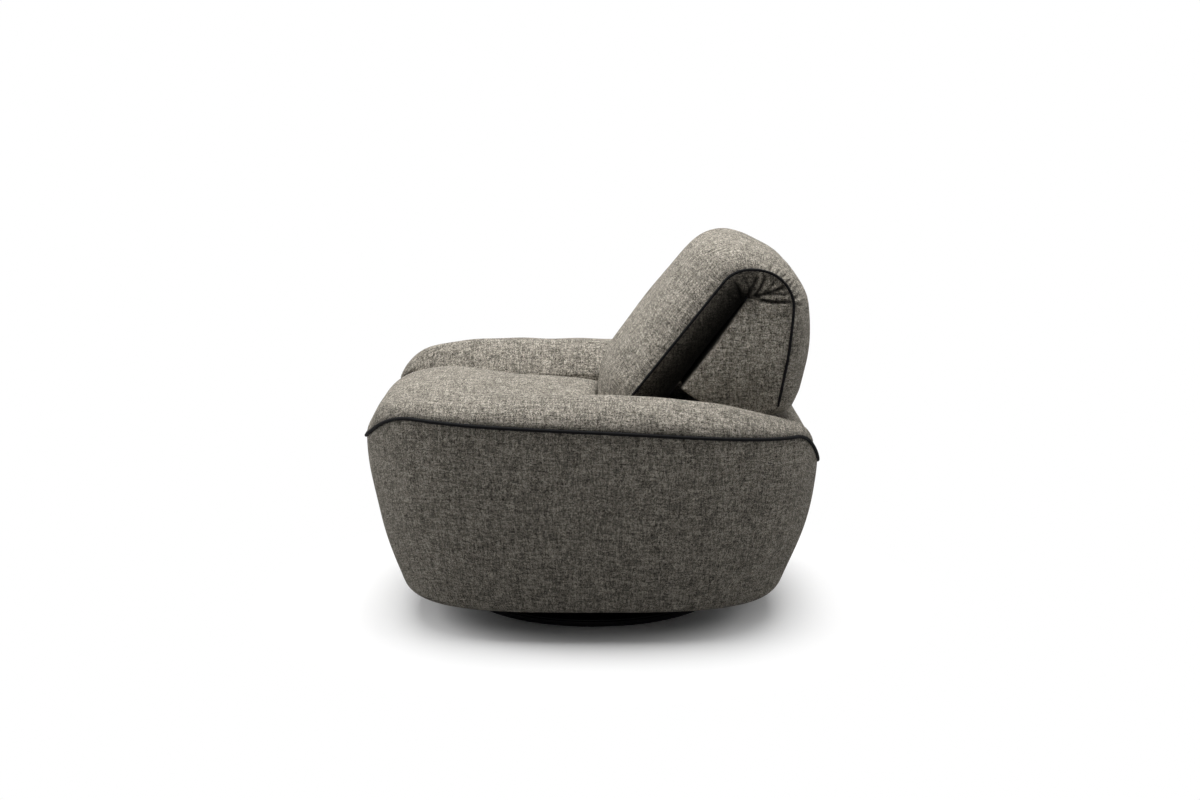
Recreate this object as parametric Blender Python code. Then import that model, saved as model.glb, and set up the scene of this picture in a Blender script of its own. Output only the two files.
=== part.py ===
"""Low tub armchair on a turning round base, with a headrest that folds over the back.

The chair faces -Y, +Z is up, and the origin is on the floor under the turning axis.
Lengths are in metres and angles in degrees.
"""
import math

import bmesh
import bpy
from mathutils import Matrix, Vector

# Upholstered tub
TUB_WIDTH = 0.920
TUB_DEPTH = 0.930
TUB_UNDERSIDE = 0.061
PLAN_POWER = 3.4
PANEL_CORNER = 38.0
SIDE_TAPER = 0.080
END_TAPER = 0.073
TAPER_POWER = 1.7
HEM_RADIUS = 0.018
HEM_LIP = 0.045
HEM_THICKNESS = 0.008
COVER_THICKNESS = 0.024

# Piped seam between the tub cover and the padded rim
SEAM_BELOW_SEAT = 0.0274
SEAM_FALL = 0.0425
SEAM_REAR_SAG = 0.015
SEAM_FRONT_DROP = 0.0915
SEAM_FRONT_BEND_SHARE = 0.72
SEAM_REAR_DROP = 0.0934
SEAM_REAR_BEND_SHARE = 0.848
SEAM_BEND_POWER = 2.3
SEAM_FLANGE = 0.0030
PIPING_RADIUS = 0.0034
PIPING_STAND_OFF = 0.0006

# Padded arms and the pad across the rear
SEAT_SPACE = 0.536
ARM_OVER_SEAT = 0.029
ARM_REAR_FALL = 0.040
ARM_FRONT_ROLL = 0.200
ARM_REAR_ROLL = 0.150
ARM_CROWN_SHARE = 0.45
ARM_INNER_ROLL = 0.050
ARM_ROLL_SHARE = 0.8
ARM_NOSE = 0.006
ARM_TUCK = 0.035
ARM_TUCK_DEPTH = 0.065
PAD_SETBACK = 0.001
REAR_PAD_DROP = 0.068
REAR_PAD_THICKNESS = 0.066
REAR_PAD_LENGTH = 0.365
REAR_PAD_ROLL = 0.075
REAR_PAD_EDGE = 0.015
REAR_PAD_CROWN_POWER = 6.0

# Seat
SEAT_CROWN_HEIGHT = 0.468
SEAT_THICKNESS = 0.1627
SEAT_FALL = 0.026
SEAT_FALL_POWER = 1.5
SEAT_SIDE_DROP = 0.042
SEAT_CROWN_POWER = 3.0
SEAT_FRONT_ROLL = 0.115
SEAT_REAR_EASE = 0.0080
SEAT_REAR_ROUND = 0.016
DECK_THICKNESS = 0.004
DECK_MARGIN = 0.035

# Back slab and the headrest that folds over it
HINGE_SETBACK = 0.151
HINGE_OVER_SEAT = 0.198
BACK_LEAN = 38.4
HEADREST_LEAN = 10.7
BACK_SIDE_GAP = 0.010
BACK_CROWN = 0.068
BACK_CROWN_POWER = 3.0
BACK_FOOT_OVER_SEAT = 0.032
FOLD_CROWNS = (BACK_CROWN, 0.053, 0.031, 0.034, 0.043)
HEADREST_BELLY = 0.013
HEADREST_BELLY_DOWN = 0.120
FOLD_RADIUS = 0.082
FOLD_CENTRE_Y = 0.007
FOLD_CENTRE_DROP = 0.016
FOLD_HOLLOW = 0.018
FOLD_ANGLE_GAP = 0.25
SIDE_BAND_TOP = 0.058
SIDE_BAND_FOOT = 0.0344
SIDE_BAND_SHARE = 0.095
HEADREST_LENGTH = 0.2256
HEADREST_BASE_RADIUS = 0.224
HEADREST_INNER_START = 0.005
HEADREST_WEDGE_SHARE = 0.484
HEADREST_ROUND_START = 0.185
HEADREST_ROUND_CENTRE = 0.040
HEADREST_TIP = 0.002

# Boards and posts of the frame
BOARD = 0.018
RIB = 0.015
RAIL = 0.030
TOUCH = 0.0003
SOFT_FIT = 0.0040
SIDE_PANEL_SETBACK = 0.125
ARM_BOARD_SETBACK = 0.010
RIB_SETBACK = 0.100
FRONT_RAIL_SETBACK = 0.195
NOSE_BOARD = 0.022
NOSE_BOARD_SEAT = 0.015
SEAT_REAR_RAIL_SETBACK = 0.341
SEAT_REAR_RAIL_HEIGHT = 0.063
TUB_REAR_RAIL_SETBACK = 0.203
SHELF_OVERHANG = 0.055
POST_X = 0.200
POST_WIDTH = 0.018
POST_OUT = 0.0422
POST_DEPTH = 0.015
POST_TOP = 0.065
POST_KNEE_DROP = 0.010
BACK_BOARD_FOOT = 0.400
BACK_REAR_PAD_TOP = 0.085
POCKET_MARGIN = 0.0085

# Sinuous seat springs
SPRING_COUNT = 5
SPRING_PITCH = 0.080
SPRING_WIRE_RADIUS = 0.0018
SPRING_SWING = 0.020
SPRING_WAVES = 5
SPRING_STEPS = 7
SPRING_END_SEAT = 0.012
CLIP_THICKNESS = 0.0015
CLIP_OVERHANG = 0.012

# Headrest board, hinge arms and pins
HEADREST_BOARD_DEPTH = 0.0120
HEADREST_BOARD_START = 0.045
HEADREST_BOARD_END = 0.186
HEADREST_POCKET_END = 0.190
HEADREST_PAD_START = 0.048
HINGE_PLATE = 0.003
HINGE_CHEEK = 0.0025
HINGE_EYE_RADIUS = 0.0120
HINGE_TOOTH = 0.0012
HINGE_TEETH = 16
HINGE_FLANK_SHARE = 0.85
HINGE_BAR_HALF = 0.0065
HINGE_NECK_HALF = 0.0050
HINGE_ARM_LENGTH = 0.200
HINGE_FORK_LENGTH = 0.130
HINGE_FORK_ROOT = 0.042
HINGE_PIN_RADIUS = 0.0040
HINGE_PIN_PLAY = 0.0002
HINGE_PIN_HEAD = 0.0065
HINGE_PIN_HEAD_THICKNESS = 0.0015

# Turning base
FELT_SETBACK = 0.010
FELT_THICKNESS = 0.002
BASE_RADIUS = 0.270
BASE_THICKNESS = 0.012
BASE_EDGE = 0.002
BASE_STEP_SETBACK = 0.007
BASE_STEP = 0.0025
RISER_RADIUS = 0.175
RISER_BORE = 0.030
BEARING_RADIUS = 0.150
BEARING_BORE = 0.0105
BEARING_PLATE = 0.003
BALL_TRACK_RADIUS = 0.120
BALL_RADIUS = 0.0045
BALL_COUNT = 12
TRACK_HALF_WIDTH = 0.009
TRACK_LIP = 0.0045
TRACK_RISE = 0.0037
TRACK_DEPTH = 0.0008
TRACK_FLARE = 0.002
CAGE_HALF_WIDTH = 0.0065
CAGE_THICKNESS = 0.0012
KINGPIN_RADIUS = 0.0100
KINGPIN_HEAD = 0.018
KINGPIN_HEAD_THICKNESS = 0.0042
DUST_COVER = 0.0015
DUST_COVER_MARGIN = 0.008

# Overrun of every cutter past the piece that it cuts, and edges kept sharp
OVERRUN = 0.030
SMOOTH_ANGLE = 40.0
TURNED_SMOOTH_ANGLE = 30.0

HALF_WIDTH = TUB_WIDTH / 2
HALF_DEPTH = TUB_DEPTH / 2
ARM_INNER_X = SEAT_SPACE / 2
SEAM_HEIGHT = SEAT_CROWN_HEIGHT - SEAM_BELOW_SEAT
ARM_HEIGHT = SEAT_CROWN_HEIGHT + ARM_OVER_SEAT
HINGE_Y = HALF_DEPTH - HINGE_SETBACK
HINGE_HEIGHT = SEAT_CROWN_HEIGHT + HINGE_OVER_SEAT
BACK_FOOT_HEIGHT = SEAT_CROWN_HEIGHT + BACK_FOOT_OVER_SEAT
BACK_WIDTH = SEAT_SPACE - 2 * BACK_SIDE_GAP
DECK_HEIGHT = SEAT_CROWN_HEIGHT - SEAT_THICKNESS
DECK_HALF_WIDTH = SPRING_PITCH * (SPRING_COUNT - 1) / 2 + DECK_MARGIN
REAR_PAD_TOP = ARM_HEIGHT - REAR_PAD_DROP
REAR_PAD_FRONT = HALF_DEPTH - REAR_PAD_LENGTH
SIDE_PANEL_Y = HALF_DEPTH - SIDE_PANEL_SETBACK
ARM_BOARD_Y = SIDE_PANEL_Y - ARM_BOARD_SETBACK
RIB_Y = SIDE_PANEL_Y - RIB_SETBACK
FRONT_RAIL_Y = FRONT_RAIL_SETBACK - HALF_DEPTH
FRONT_RAIL_TOP = DECK_HEIGHT - NOSE_BOARD - TOUCH
SEAT_REAR_RAIL_Y = HINGE_Y - SEAT_REAR_RAIL_SETBACK
SEAT_REAR_RAIL_LOW = FRONT_RAIL_TOP - SEAT_REAR_RAIL_HEIGHT
TUB_REAR_RAIL_Y = HALF_DEPTH - TUB_REAR_RAIL_SETBACK
SHELF_HEIGHT = REAR_PAD_TOP - REAR_PAD_THICKNESS
SHELF_FRONT = REAR_PAD_FRONT - SHELF_OVERHANG
POCKET_HALF_WIDTH = POST_X + POST_WIDTH + POCKET_MARGIN
HINGE = Vector((0, HINGE_Y, HINGE_HEIGHT))
BACK_UP = Vector((0, math.sin(math.radians(BACK_LEAN)), math.cos(math.radians(BACK_LEAN))))
BACK_OUT = Vector((0, -BACK_UP.z, BACK_UP.y))
REST_DOWN = Vector((0, -math.sin(math.radians(HEADREST_LEAN)), -math.cos(math.radians(HEADREST_LEAN))))
REST_OUT = Vector((0, -REST_DOWN.z, REST_DOWN.y))
BOTTOM_BOARD_Z = TUB_UNDERSIDE + HEM_THICKNESS + TOUCH
BEARING_HALF_HEIGHT = BEARING_PLATE + TRACK_RISE - TRACK_DEPTH + TOUCH + BALL_RADIUS
BEARING_BOTTOM = BOTTOM_BOARD_Z - TOUCH - 2 * BEARING_HALF_HEIGHT
RISER_TOP = BEARING_BOTTOM - TOUCH
FLOOR_Z = BOTTOM_BOARD_Z + BOARD
FRAME_FLOOR_Z = FLOOR_Z + TOUCH
SIDE_PANEL_X = ARM_INNER_X + TOUCH
SIDE_PANEL_TOP = SEAM_HEIGHT - ARM_TUCK_DEPTH

objects = bpy.data.objects
for item in list(objects):
    bpy.data.objects.remove(item, do_unlink=True)


# Finishes

def make_finish(name, colour, roughness, metallic):
    """A plain Principled material in the colour of the real finish."""
    finish = bpy.data.materials.new(name)
    finish.use_nodes = True
    shader = finish.node_tree.nodes["Principled BSDF"]
    shader.inputs["Base Color"].default_value = (*colour, 1.0)
    shader.inputs["Roughness"].default_value = roughness
    shader.inputs["Metallic"].default_value = metallic
    return finish


TWEED = make_finish("tweed", (0.185, 0.165, 0.135), 0.95, 0.0)
PIPING = make_finish("piping", (0.012, 0.012, 0.013), 0.70, 0.0)
FELT = make_finish("felt", (0.050, 0.050, 0.052), 0.98, 0.0)
BLACK_LACQUER = make_finish("black_lacquer", (0.016, 0.017, 0.020), 0.45, 0.0)
BLACK_WOOD = make_finish("black_wood", (0.018, 0.018, 0.020), 0.60, 0.0)
ZINC = make_finish("zinc", (0.520, 0.530, 0.540), 0.35, 1.0)
SPRING_STEEL = make_finish("spring_steel", (0.200, 0.200, 0.210), 0.40, 1.0)
PLYWOOD = make_finish("plywood", (0.560, 0.400, 0.230), 0.70, 0.0)
CAMBRIC = make_finish("cambric", (0.022, 0.022, 0.024), 0.95, 0.0)


# Joint axes, as empties that carry what moves

def make_axis(name, place, parent):
    axis = objects.new(name, None)
    bpy.context.scene.collection.objects.link(axis)
    axis.parent = parent
    axis.location = place
    return axis


BASE_AXIS = make_axis("base_axis", Vector(), None)
CAGE_AXIS = make_axis("cage_axis", Vector(), BASE_AXIS)
SWIVEL_AXIS = make_axis("swivel_axis", Vector(), BASE_AXIS)
HEADREST_AXIS = make_axis("headrest_axis", HINGE, SWIVEL_AXIS)
AXIS_PLACES = {BASE_AXIS: Vector(), CAGE_AXIS: Vector(), SWIVEL_AXIS: Vector(), HEADREST_AXIS: HINGE}


# Mesh helpers

def add_solid(name, vertices, faces, finish, axis, smooth_angle=SMOOTH_ANGLE):
    """Closed mesh given in world coordinates, hung on the empty of its joint axis."""
    mesh = bpy.data.meshes.new(name)
    mesh.from_pydata([tuple(v) for v in vertices], [], faces)
    shell = bmesh.new()
    shell.from_mesh(mesh)
    bmesh.ops.recalc_face_normals(shell, faces=shell.faces)
    shell.to_mesh(mesh)
    shell.free()
    mesh.transform(Matrix.Translation(-AXIS_PLACES[axis]))
    mesh.shade_smooth()
    mesh.set_sharp_from_angle(angle=math.radians(smooth_angle))
    solid = objects.new(name, mesh)
    bpy.context.scene.collection.objects.link(solid)
    solid.parent = axis
    if finish is not None:
        mesh.materials.append(finish)
    return solid


def add_loft(name, rings, finish, axis, closed=False):
    """Skin over rings of equally many points; the two ends are capped unless closed."""
    size = len(rings[0])
    vertices = [point for ring in rings for point in ring]
    faces = []
    last = len(rings) if closed else len(rings) - 1
    for row in range(last):
        here, there = row * size, (row + 1) % len(rings) * size
        for k in range(size):
            after = (k + 1) % size
            faces.append((here + k, here + after, there + after, there + k))
    if not closed:
        faces.append(tuple(range(size)))
        faces.append(tuple(range(len(vertices) - size, len(vertices))))
    return add_solid(name, vertices, faces, finish, axis)


def add_prism(name, outline, travel, finish, axis):
    """Flat outline pushed along one direction."""
    return add_loft(name, [outline, [point + travel for point in outline]], finish, axis)


def add_block(name, low, high, finish, axis):
    outline = [Vector((low[0], low[1], low[2])), Vector((high[0], low[1], low[2])),
               Vector((high[0], high[1], low[2])), Vector((low[0], high[1], low[2]))]
    return add_prism(name, outline, Vector((0, 0, high[2] - low[2])), finish, axis)


def add_turned(name, profile, finish, axis, count=32):
    """Closed profile of radius and height turned about Z; radius zero closes on the axis."""
    vertices, rows = [], []
    for radius, height in profile:
        if radius == 0:
            rows.append([len(vertices)] * count)
            vertices.append(Vector((0, 0, height)))
            continue
        rows.append([len(vertices) + k for k in range(count)])
        for k in range(count):
            turn = math.tau * k / count
            vertices.append(Vector((radius * math.cos(turn), radius * math.sin(turn), height)))
    faces = []
    for upper, lower in zip(rows, rows[1:] + rows[:1]):
        for k in range(count):
            after = (k + 1) % count
            corners = []
            for index in (upper[k], upper[after], lower[after], lower[k]):
                if index not in corners:
                    corners.append(index)
            if len(corners) > 2:
                faces.append(tuple(corners))
    return add_solid(name, vertices, faces, finish, axis, TURNED_SMOOTH_ANGLE)


def add_tube(name, path, sides_out, sides_up, radius, facets, finish, axis, closed=False):
    """Round tube along a path, with the two directions of its cross-section at each point."""
    rings = []
    for centre, out, up in zip(path, sides_out, sides_up):
        turns = [math.tau * (k + 0.5) / facets for k in range(facets)]
        rings.append([centre + (out * math.cos(t) + up * math.sin(t)) * radius for t in turns])
    return add_loft(name, rings, finish, axis, closed)


def make_cutter(solid):
    solid.hide_render = True
    solid.display_type = "WIRE"
    return solid


def combine(solid, other, operation):
    modifier = solid.modifiers.new(operation.lower(), "BOOLEAN")
    modifier.operation = operation
    modifier.solver = "EXACT"
    modifier.object = make_cutter(other)


# Shape of the tub in plan, its seam and its taper

def plan_point(turn, inset_x, inset_y):
    """Point of the rounded plan at a turn from +X, drawn in by an inset on each axis."""
    across, along = math.cos(turn), math.sin(turn)
    power = 2 / PLAN_POWER
    x = (HALF_WIDTH - inset_x) * math.copysign(abs(across) ** power, across)
    y = (HALF_DEPTH - inset_y) * math.copysign(abs(along) ** power, along)
    return x, y


def plan_reach(offset, half_here, half_there):
    """Half size of the plan along one axis at an offset along the other."""
    share = min(abs(offset) / half_here, 1)
    return half_there * (1 - share ** PLAN_POWER) ** (1 / PLAN_POWER)


def plan_x(y, inset=0):
    return plan_reach(y, HALF_DEPTH - inset, HALF_WIDTH - inset)


def plan_y(x, inset=0):
    return plan_reach(x, HALF_WIDTH - inset, HALF_DEPTH - inset)


def seam_z(y):
    """Height of the piped seam: a fall to the rear, then a bend down round each end."""
    drop, start = SEAM_REAR_DROP, SEAM_REAR_BEND_SHARE
    if y < 0:
        drop, start = SEAM_FRONT_DROP, SEAM_FRONT_BEND_SHARE
    bend = max(0, abs(y) / HALF_DEPTH - start) / (1 - start)
    sag = SEAM_REAR_SAG * (max(0, y) / HALF_DEPTH) ** 2
    return SEAM_HEIGHT - SEAM_FALL * y / TUB_DEPTH - sag - drop * bend ** SEAM_BEND_POWER


def taper_at(z, seam):
    share = min(1, max(0, (seam - z) / (seam - TUB_UNDERSIDE)))
    return share ** TAPER_POWER


def inner_wall_x(y, z):
    """Inside of the tub cover along X at a depth and a height."""
    taper = taper_at(z, seam_z(y))
    return plan_reach(y, HALF_DEPTH - END_TAPER * taper - COVER_THICKNESS,
                      HALF_WIDTH - SIDE_TAPER * taper - COVER_THICKNESS)


def inner_wall_y(x, z, seam):
    """Inside of the tub cover along Y at a width and a height."""
    taper = taper_at(z, seam)
    return plan_reach(x, HALF_WIDTH - SIDE_TAPER * taper - COVER_THICKNESS,
                      HALF_DEPTH - END_TAPER * taper - COVER_THICKNESS)


def step_seam_z(x, sign):
    """Height of the cover's rim where its inner edge passes a width, at the front or the rear."""
    return seam_z(sign * plan_y(x * HALF_WIDTH / (HALF_WIDTH - COVER_THICKNESS)))


def spread(count):
    """Shares from -1 to 1 that crowd towards both ends."""
    return [math.sin(math.pi / 2 * (2 * k / (count - 1) - 1)) for k in range(count)]


# Turning base: felt, disc, riser and ball bearing

def build_base():
    felt_radius = BASE_RADIUS - FELT_SETBACK
    felt_top = FELT_THICKNESS
    add_turned("floor_felt", [(0, 0), (felt_radius, 0), (felt_radius, felt_top), (0, felt_top)],
               FELT, BASE_AXIS, 48)
    low = felt_top + TOUCH
    high = low + BASE_THICKNESS
    step = high - BASE_STEP
    step_radius = BASE_RADIUS - BASE_STEP_SETBACK
    add_turned("base_disc", [(0, low), (BASE_RADIUS - BASE_EDGE, low), (BASE_RADIUS, low + BASE_EDGE),
                             (BASE_RADIUS, step - BASE_EDGE), (BASE_RADIUS - BASE_EDGE, step),
                             (step_radius, step), (step_radius - BASE_EDGE, high), (0, high)],
               BLACK_LACQUER, BASE_AXIS, 56)
    riser_low = high + TOUCH
    add_turned("base_riser", [(RISER_BORE, riser_low), (RISER_RADIUS, riser_low),
                              (RISER_RADIUS, RISER_TOP - BASE_EDGE), (RISER_RADIUS - BASE_EDGE, RISER_TOP),
                              (RISER_BORE, RISER_TOP)], BLACK_WOOD, BASE_AXIS, 40)


def track_profile(face, away):
    """Bearing plate with a raised ball track; away is 1 for the lower plate and -1 for the upper."""
    lip = face + away * TRACK_RISE
    groove = lip - away * TRACK_DEPTH
    back = face - away * BEARING_PLATE
    return [(BEARING_BORE, back), (BEARING_RADIUS, back), (BEARING_RADIUS, face),
            (BALL_TRACK_RADIUS + TRACK_HALF_WIDTH + TRACK_FLARE, face),
            (BALL_TRACK_RADIUS + TRACK_HALF_WIDTH, lip), (BALL_TRACK_RADIUS + TRACK_LIP, lip),
            (BALL_TRACK_RADIUS, groove), (BALL_TRACK_RADIUS - TRACK_LIP, lip),
            (BALL_TRACK_RADIUS - TRACK_HALF_WIDTH, lip),
            (BALL_TRACK_RADIUS - TRACK_HALF_WIDTH - TRACK_FLARE, face), (BEARING_BORE, face)]


def build_bearing():
    lower_face = BEARING_BOTTOM + BEARING_PLATE
    ball_z = BEARING_BOTTOM + BEARING_HALF_HEIGHT
    upper_face = 2 * ball_z - lower_face
    add_turned("swivel_lower_plate", track_profile(lower_face, 1), ZINC, BASE_AXIS, 32)
    add_turned("swivel_upper_plate", track_profile(upper_face, -1), ZINC, SWIVEL_AXIS, 32)
    head_low = upper_face + BEARING_PLATE + TOUCH
    foot_high = BEARING_BOTTOM - TOUCH
    add_turned("swivel_kingpin", [(0, foot_high - KINGPIN_HEAD_THICKNESS),
                                  (KINGPIN_HEAD, foot_high - KINGPIN_HEAD_THICKNESS),
                                  (KINGPIN_HEAD, foot_high), (KINGPIN_RADIUS, foot_high),
                                  (KINGPIN_RADIUS, head_low), (KINGPIN_HEAD, head_low),
                                  (KINGPIN_HEAD - BASE_EDGE, head_low + KINGPIN_HEAD_THICKNESS),
                                  (0, head_low + KINGPIN_HEAD_THICKNESS)], ZINC, BASE_AXIS, 20)
    ring_low, ring_high = ball_z - CAGE_THICKNESS / 2, ball_z + CAGE_THICKNESS / 2
    inner, outer = BALL_TRACK_RADIUS - CAGE_HALF_WIDTH, BALL_TRACK_RADIUS + CAGE_HALF_WIDTH
    cage = add_turned("ball_cage", [(inner, ring_low), (outer, ring_low), (outer, ring_high),
                                    (inner, ring_high)], ZINC, CAGE_AXIS, 48)
    for k in range(BALL_COUNT):
        turn = math.tau * (k + 0.5) / BALL_COUNT
        ball = bmesh.new()
        bmesh.ops.create_icosphere(ball, subdivisions=2, radius=BALL_RADIUS)
        mesh = bpy.data.meshes.new(f"ball_{k + 1}")
        ball.to_mesh(mesh)
        ball.free()
        solid = objects.new(mesh.name, mesh)
        bpy.context.scene.collection.objects.link(solid)
        solid.parent = CAGE_AXIS
        solid.location = (BALL_TRACK_RADIUS * math.cos(turn), BALL_TRACK_RADIUS * math.sin(turn), ball_z)
        combine(cage, solid, "UNION")


# Tub cover: four padded panels that turn under at the hem

def cover_point(turn, z, extra):
    seam = seam_z(plan_point(turn, 0, 0)[1])
    taper = taper_at(z, seam)
    x, y = plan_point(turn, SIDE_TAPER * taper + extra, END_TAPER * taper + extra)
    return Vector((x, y, z))


def cover_section(turn, walls=7, hems=3):
    """Outline of a cover panel at one turn: down the outside, round the hem and up the inside."""
    seam = seam_z(plan_point(turn, 0, 0)[1])
    hem_top = TUB_UNDERSIDE + HEM_RADIUS
    points = [cover_point(turn, seam + (hem_top - seam) * k / walls, 0) for k in range(walls + 1)]
    for k in range(1, hems + 1):
        bend = math.pi / 2 * k / hems
        points.append(cover_point(turn, hem_top - HEM_RADIUS * math.sin(bend),
                                  HEM_RADIUS * (1 - math.cos(bend))))
    lip_top = TUB_UNDERSIDE + HEM_THICKNESS
    points.append(cover_point(turn, TUB_UNDERSIDE, HEM_LIP))
    points.append(cover_point(turn, lip_top, HEM_LIP))
    points.append(cover_point(turn, lip_top, COVER_THICKNESS))
    for k in range(1, 4):
        points.append(cover_point(turn, lip_top + (seam - lip_top) * k / 4, COVER_THICKNESS))
    points.append(cover_point(turn, seam, COVER_THICKNESS))
    return points


def build_cover():
    corner = math.radians(PANEL_CORNER)
    slit = TOUCH / HALF_WIDTH
    spans = {"cover_panel_left": (-corner, corner, 10), "cover_panel_rear": (corner, math.pi - corner, 16),
             "cover_panel_right": (math.pi - corner, math.pi + corner, 10),
             "cover_panel_front": (math.pi + corner, math.tau - corner, 16)}
    for name, (start, end, steps) in spans.items():
        start, end = start + slit, end - slit
        add_loft(name, [cover_section(start + (end - start) * k / steps) for k in range(steps + 1)],
                 TWEED, SWIVEL_AXIS)


def build_seam_piping(points=84):
    stand = PIPING_RADIUS + PIPING_STAND_OFF
    path, outs = [], []
    for k in range(points):
        turn = math.tau * (k + 0.5) / points
        x, y = plan_point(turn, 0, 0)
        out = Vector((math.copysign(abs(x / HALF_WIDTH) ** (PLAN_POWER - 1) / HALF_WIDTH, x),
                      math.copysign(abs(y / HALF_DEPTH) ** (PLAN_POWER - 1) / HALF_DEPTH, y), 0)).normalized()
        path.append(Vector((x, y, seam_z(y) + SEAM_FLANGE / 2)) + out * stand)
        outs.append(out)
    add_tube("seam_piping", path, outs, [Vector((0, 0, 1))] * points, PIPING_RADIUS, 6, PIPING,
             SWIVEL_AXIS, closed=True)


# Padded arms, rear pad and seat cushion

def arm_crown_z(y):
    end = plan_y(ARM_INNER_X)
    front = min(1, max(0, (y + end) / ARM_FRONT_ROLL))
    rear = min(1, max(0, (end - y) / ARM_REAR_ROLL))
    rise = min(math.sqrt(1 - (1 - front) ** 2), math.sqrt(1 - (1 - rear) ** 2))
    top = ARM_HEIGHT - ARM_REAR_FALL * (max(0, y) / SIDE_PANEL_Y) ** 2
    return seam_z(y) + SEAM_FLANGE + (top - seam_z(y) - SEAM_FLANGE) * rise


def arm_section(y, tucked, outer=8, inner=6):
    """Arm pad cut across at one depth; tucked says if its foot goes down beside the seat."""
    x_out = plan_x(y, PAD_SETBACK)
    width = x_out - ARM_INNER_X
    x_crown = ARM_INNER_X + ARM_CROWN_SHARE * width
    base, crown = seam_z(y) + SEAM_FLANGE, arm_crown_z(y)
    roll = min(ARM_INNER_ROLL, (crown - base) * ARM_ROLL_SHARE)
    points = []
    for k in range(outer + 1):
        turn = math.pi / 2 * k / outer
        points.append((x_crown + (x_out - x_crown) * math.cos(turn), base + (crown - base) * math.sin(turn)))
    for k in range(1, inner + 1):
        turn = math.pi / 2 * k / inner
        points.append((x_crown - (x_crown - ARM_INNER_X) * math.sin(turn),
                       crown - roll + roll * math.cos(turn)))
    foot = SIDE_PANEL_TOP + TOUCH if tucked else base
    x_tuck = ARM_INNER_X + min(ARM_TUCK, width / 2)
    points += [(ARM_INNER_X, foot), (x_tuck, foot), (x_tuck, base)]
    if not tucked:
        points[-1] = ((x_tuck + x_out) / 2, base)
    return [Vector((x, y, z)) for x, z in points]


def mirror(rings):
    return [[Vector((-p.x, p.y, p.z)) for p in ring] for ring in rings]


def build_arms():
    tip = plan_y(ARM_INNER_X + ARM_NOSE, PAD_SETBACK)
    bare = plan_y(ARM_INNER_X + ARM_TUCK, COVER_THICKNESS + SOFT_FIT)
    ends = [bare + (tip - bare) * math.sin(math.pi / 2 * k / 5) for k in range(5, -1, -1)]
    ends.append((bare + SIDE_PANEL_Y) / 2)
    middles = [SIDE_PANEL_Y * (1 - k / 6) for k in range(13)]
    rings = [arm_section(-y, False) for y in ends] + [arm_section(-y, True) for y in middles]
    rings += [arm_section(y, False) for y in reversed(ends)]
    add_loft("arm_pad_left", rings, TWEED, SWIVEL_AXIS)
    add_loft("arm_pad_right", mirror(rings), TWEED, SWIVEL_AXIS)


def rear_pad_section(x):
    y_out = plan_y(x, PAD_SETBACK)
    base = seam_z(y_out) + SEAM_FLANGE
    seat = SHELF_HEIGHT + TOUCH
    seam = step_seam_z(x, 1)
    y_step = inner_wall_y(x, min(seat, seam), seam) - SOFT_FIT
    y_crown = y_out - REAR_PAD_ROLL
    top = REAR_PAD_TOP - REAR_PAD_EDGE * abs(x / ARM_INNER_X) ** REAR_PAD_CROWN_POWER
    points = [(REAR_PAD_FRONT, seat), (REAR_PAD_FRONT, top - REAR_PAD_EDGE),
              (REAR_PAD_FRONT + REAR_PAD_EDGE, top), (REAR_PAD_FRONT + REAR_PAD_ROLL, top)]
    points.append(((REAR_PAD_FRONT + y_crown) / 2 + REAR_PAD_ROLL / 2, top))
    for k in range(8):
        turn = math.pi / 2 * k / 7
        points.append((y_crown + REAR_PAD_ROLL * math.sin(turn), base + (top - base) * math.cos(turn)))
    points += [(y_step, step_seam_z(x, 1) + 2 * SEAM_FLANGE), (y_step, seat)]
    return [Vector((x, y, z)) for y, z in points]


def build_rear_pad():
    half = ARM_INNER_X - TOUCH
    add_loft("rear_pad", [rear_pad_section(half * share) for share in spread(15)], TWEED, SWIVEL_AXIS)


def back_point(x, up, out):
    """Point of the back: up along the slab from the hinge line and out of its face."""
    return HINGE + BACK_UP * up + BACK_OUT * out + Vector((x, 0, 0))


def fold_reach(direction):
    """Distance from the hinge line to the piped edge of the fold in one direction."""
    offset = Vector((0, -FOLD_CENTRE_Y, FOLD_CENTRE_DROP))
    along = offset.dot(direction)
    return -along + math.sqrt(along ** 2 - offset.length_squared + FOLD_RADIUS ** 2)


def crown_at(x, height):
    """How far the padding stands out past its piped edges at a width."""
    share = min(1, abs(x) / (BACK_WIDTH / 2))
    return height * math.sqrt(1 - share ** BACK_CROWN_POWER)


def fold_crown(share):
    """Crown height along the fold, on a smooth curve through its named values."""
    last = len(FOLD_CROWNS) - 1
    k = min(int(share * last), last - 1)
    t = share * last - k
    before, here, there, after = (FOLD_CROWNS[min(max(k + n, 0), last)] for n in (-1, 0, 1, 2))
    return here + ((there - before) * t + (2 * before - 5 * here + 4 * there - after) * t ** 2
                   + (3 * here - before - 3 * there + after) * t ** 3) / 2


BACK_EDGE_OUT = fold_reach(BACK_OUT)
REST_EDGE_OUT = fold_reach(REST_OUT)


def slab_line_y(out, z):
    """Depth, at a height, of a line that runs up the slab at an out-distance."""
    return HINGE_Y + (BACK_UP.y * (z - HINGE_HEIGHT) - out) / BACK_UP.z


def knee_up(crown):
    """Where the rounded foot starts on the slab's face, measured up from the hinge line."""
    return (BACK_FOOT_HEIGHT - HINGE_HEIGHT - BACK_OUT.z * (BACK_EDGE_OUT + crown)) / BACK_UP.z


def slab_out(x, up):
    """Out-distance of the slab's face, whose crown dies away plumb down the rounded foot."""
    crown = crown_at(x, BACK_CROWN)
    fade = max(0, knee_up(crown) - up) * BACK_UP.y / BACK_UP.z
    return BACK_EDGE_OUT + max(0, crown - fade)


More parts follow.
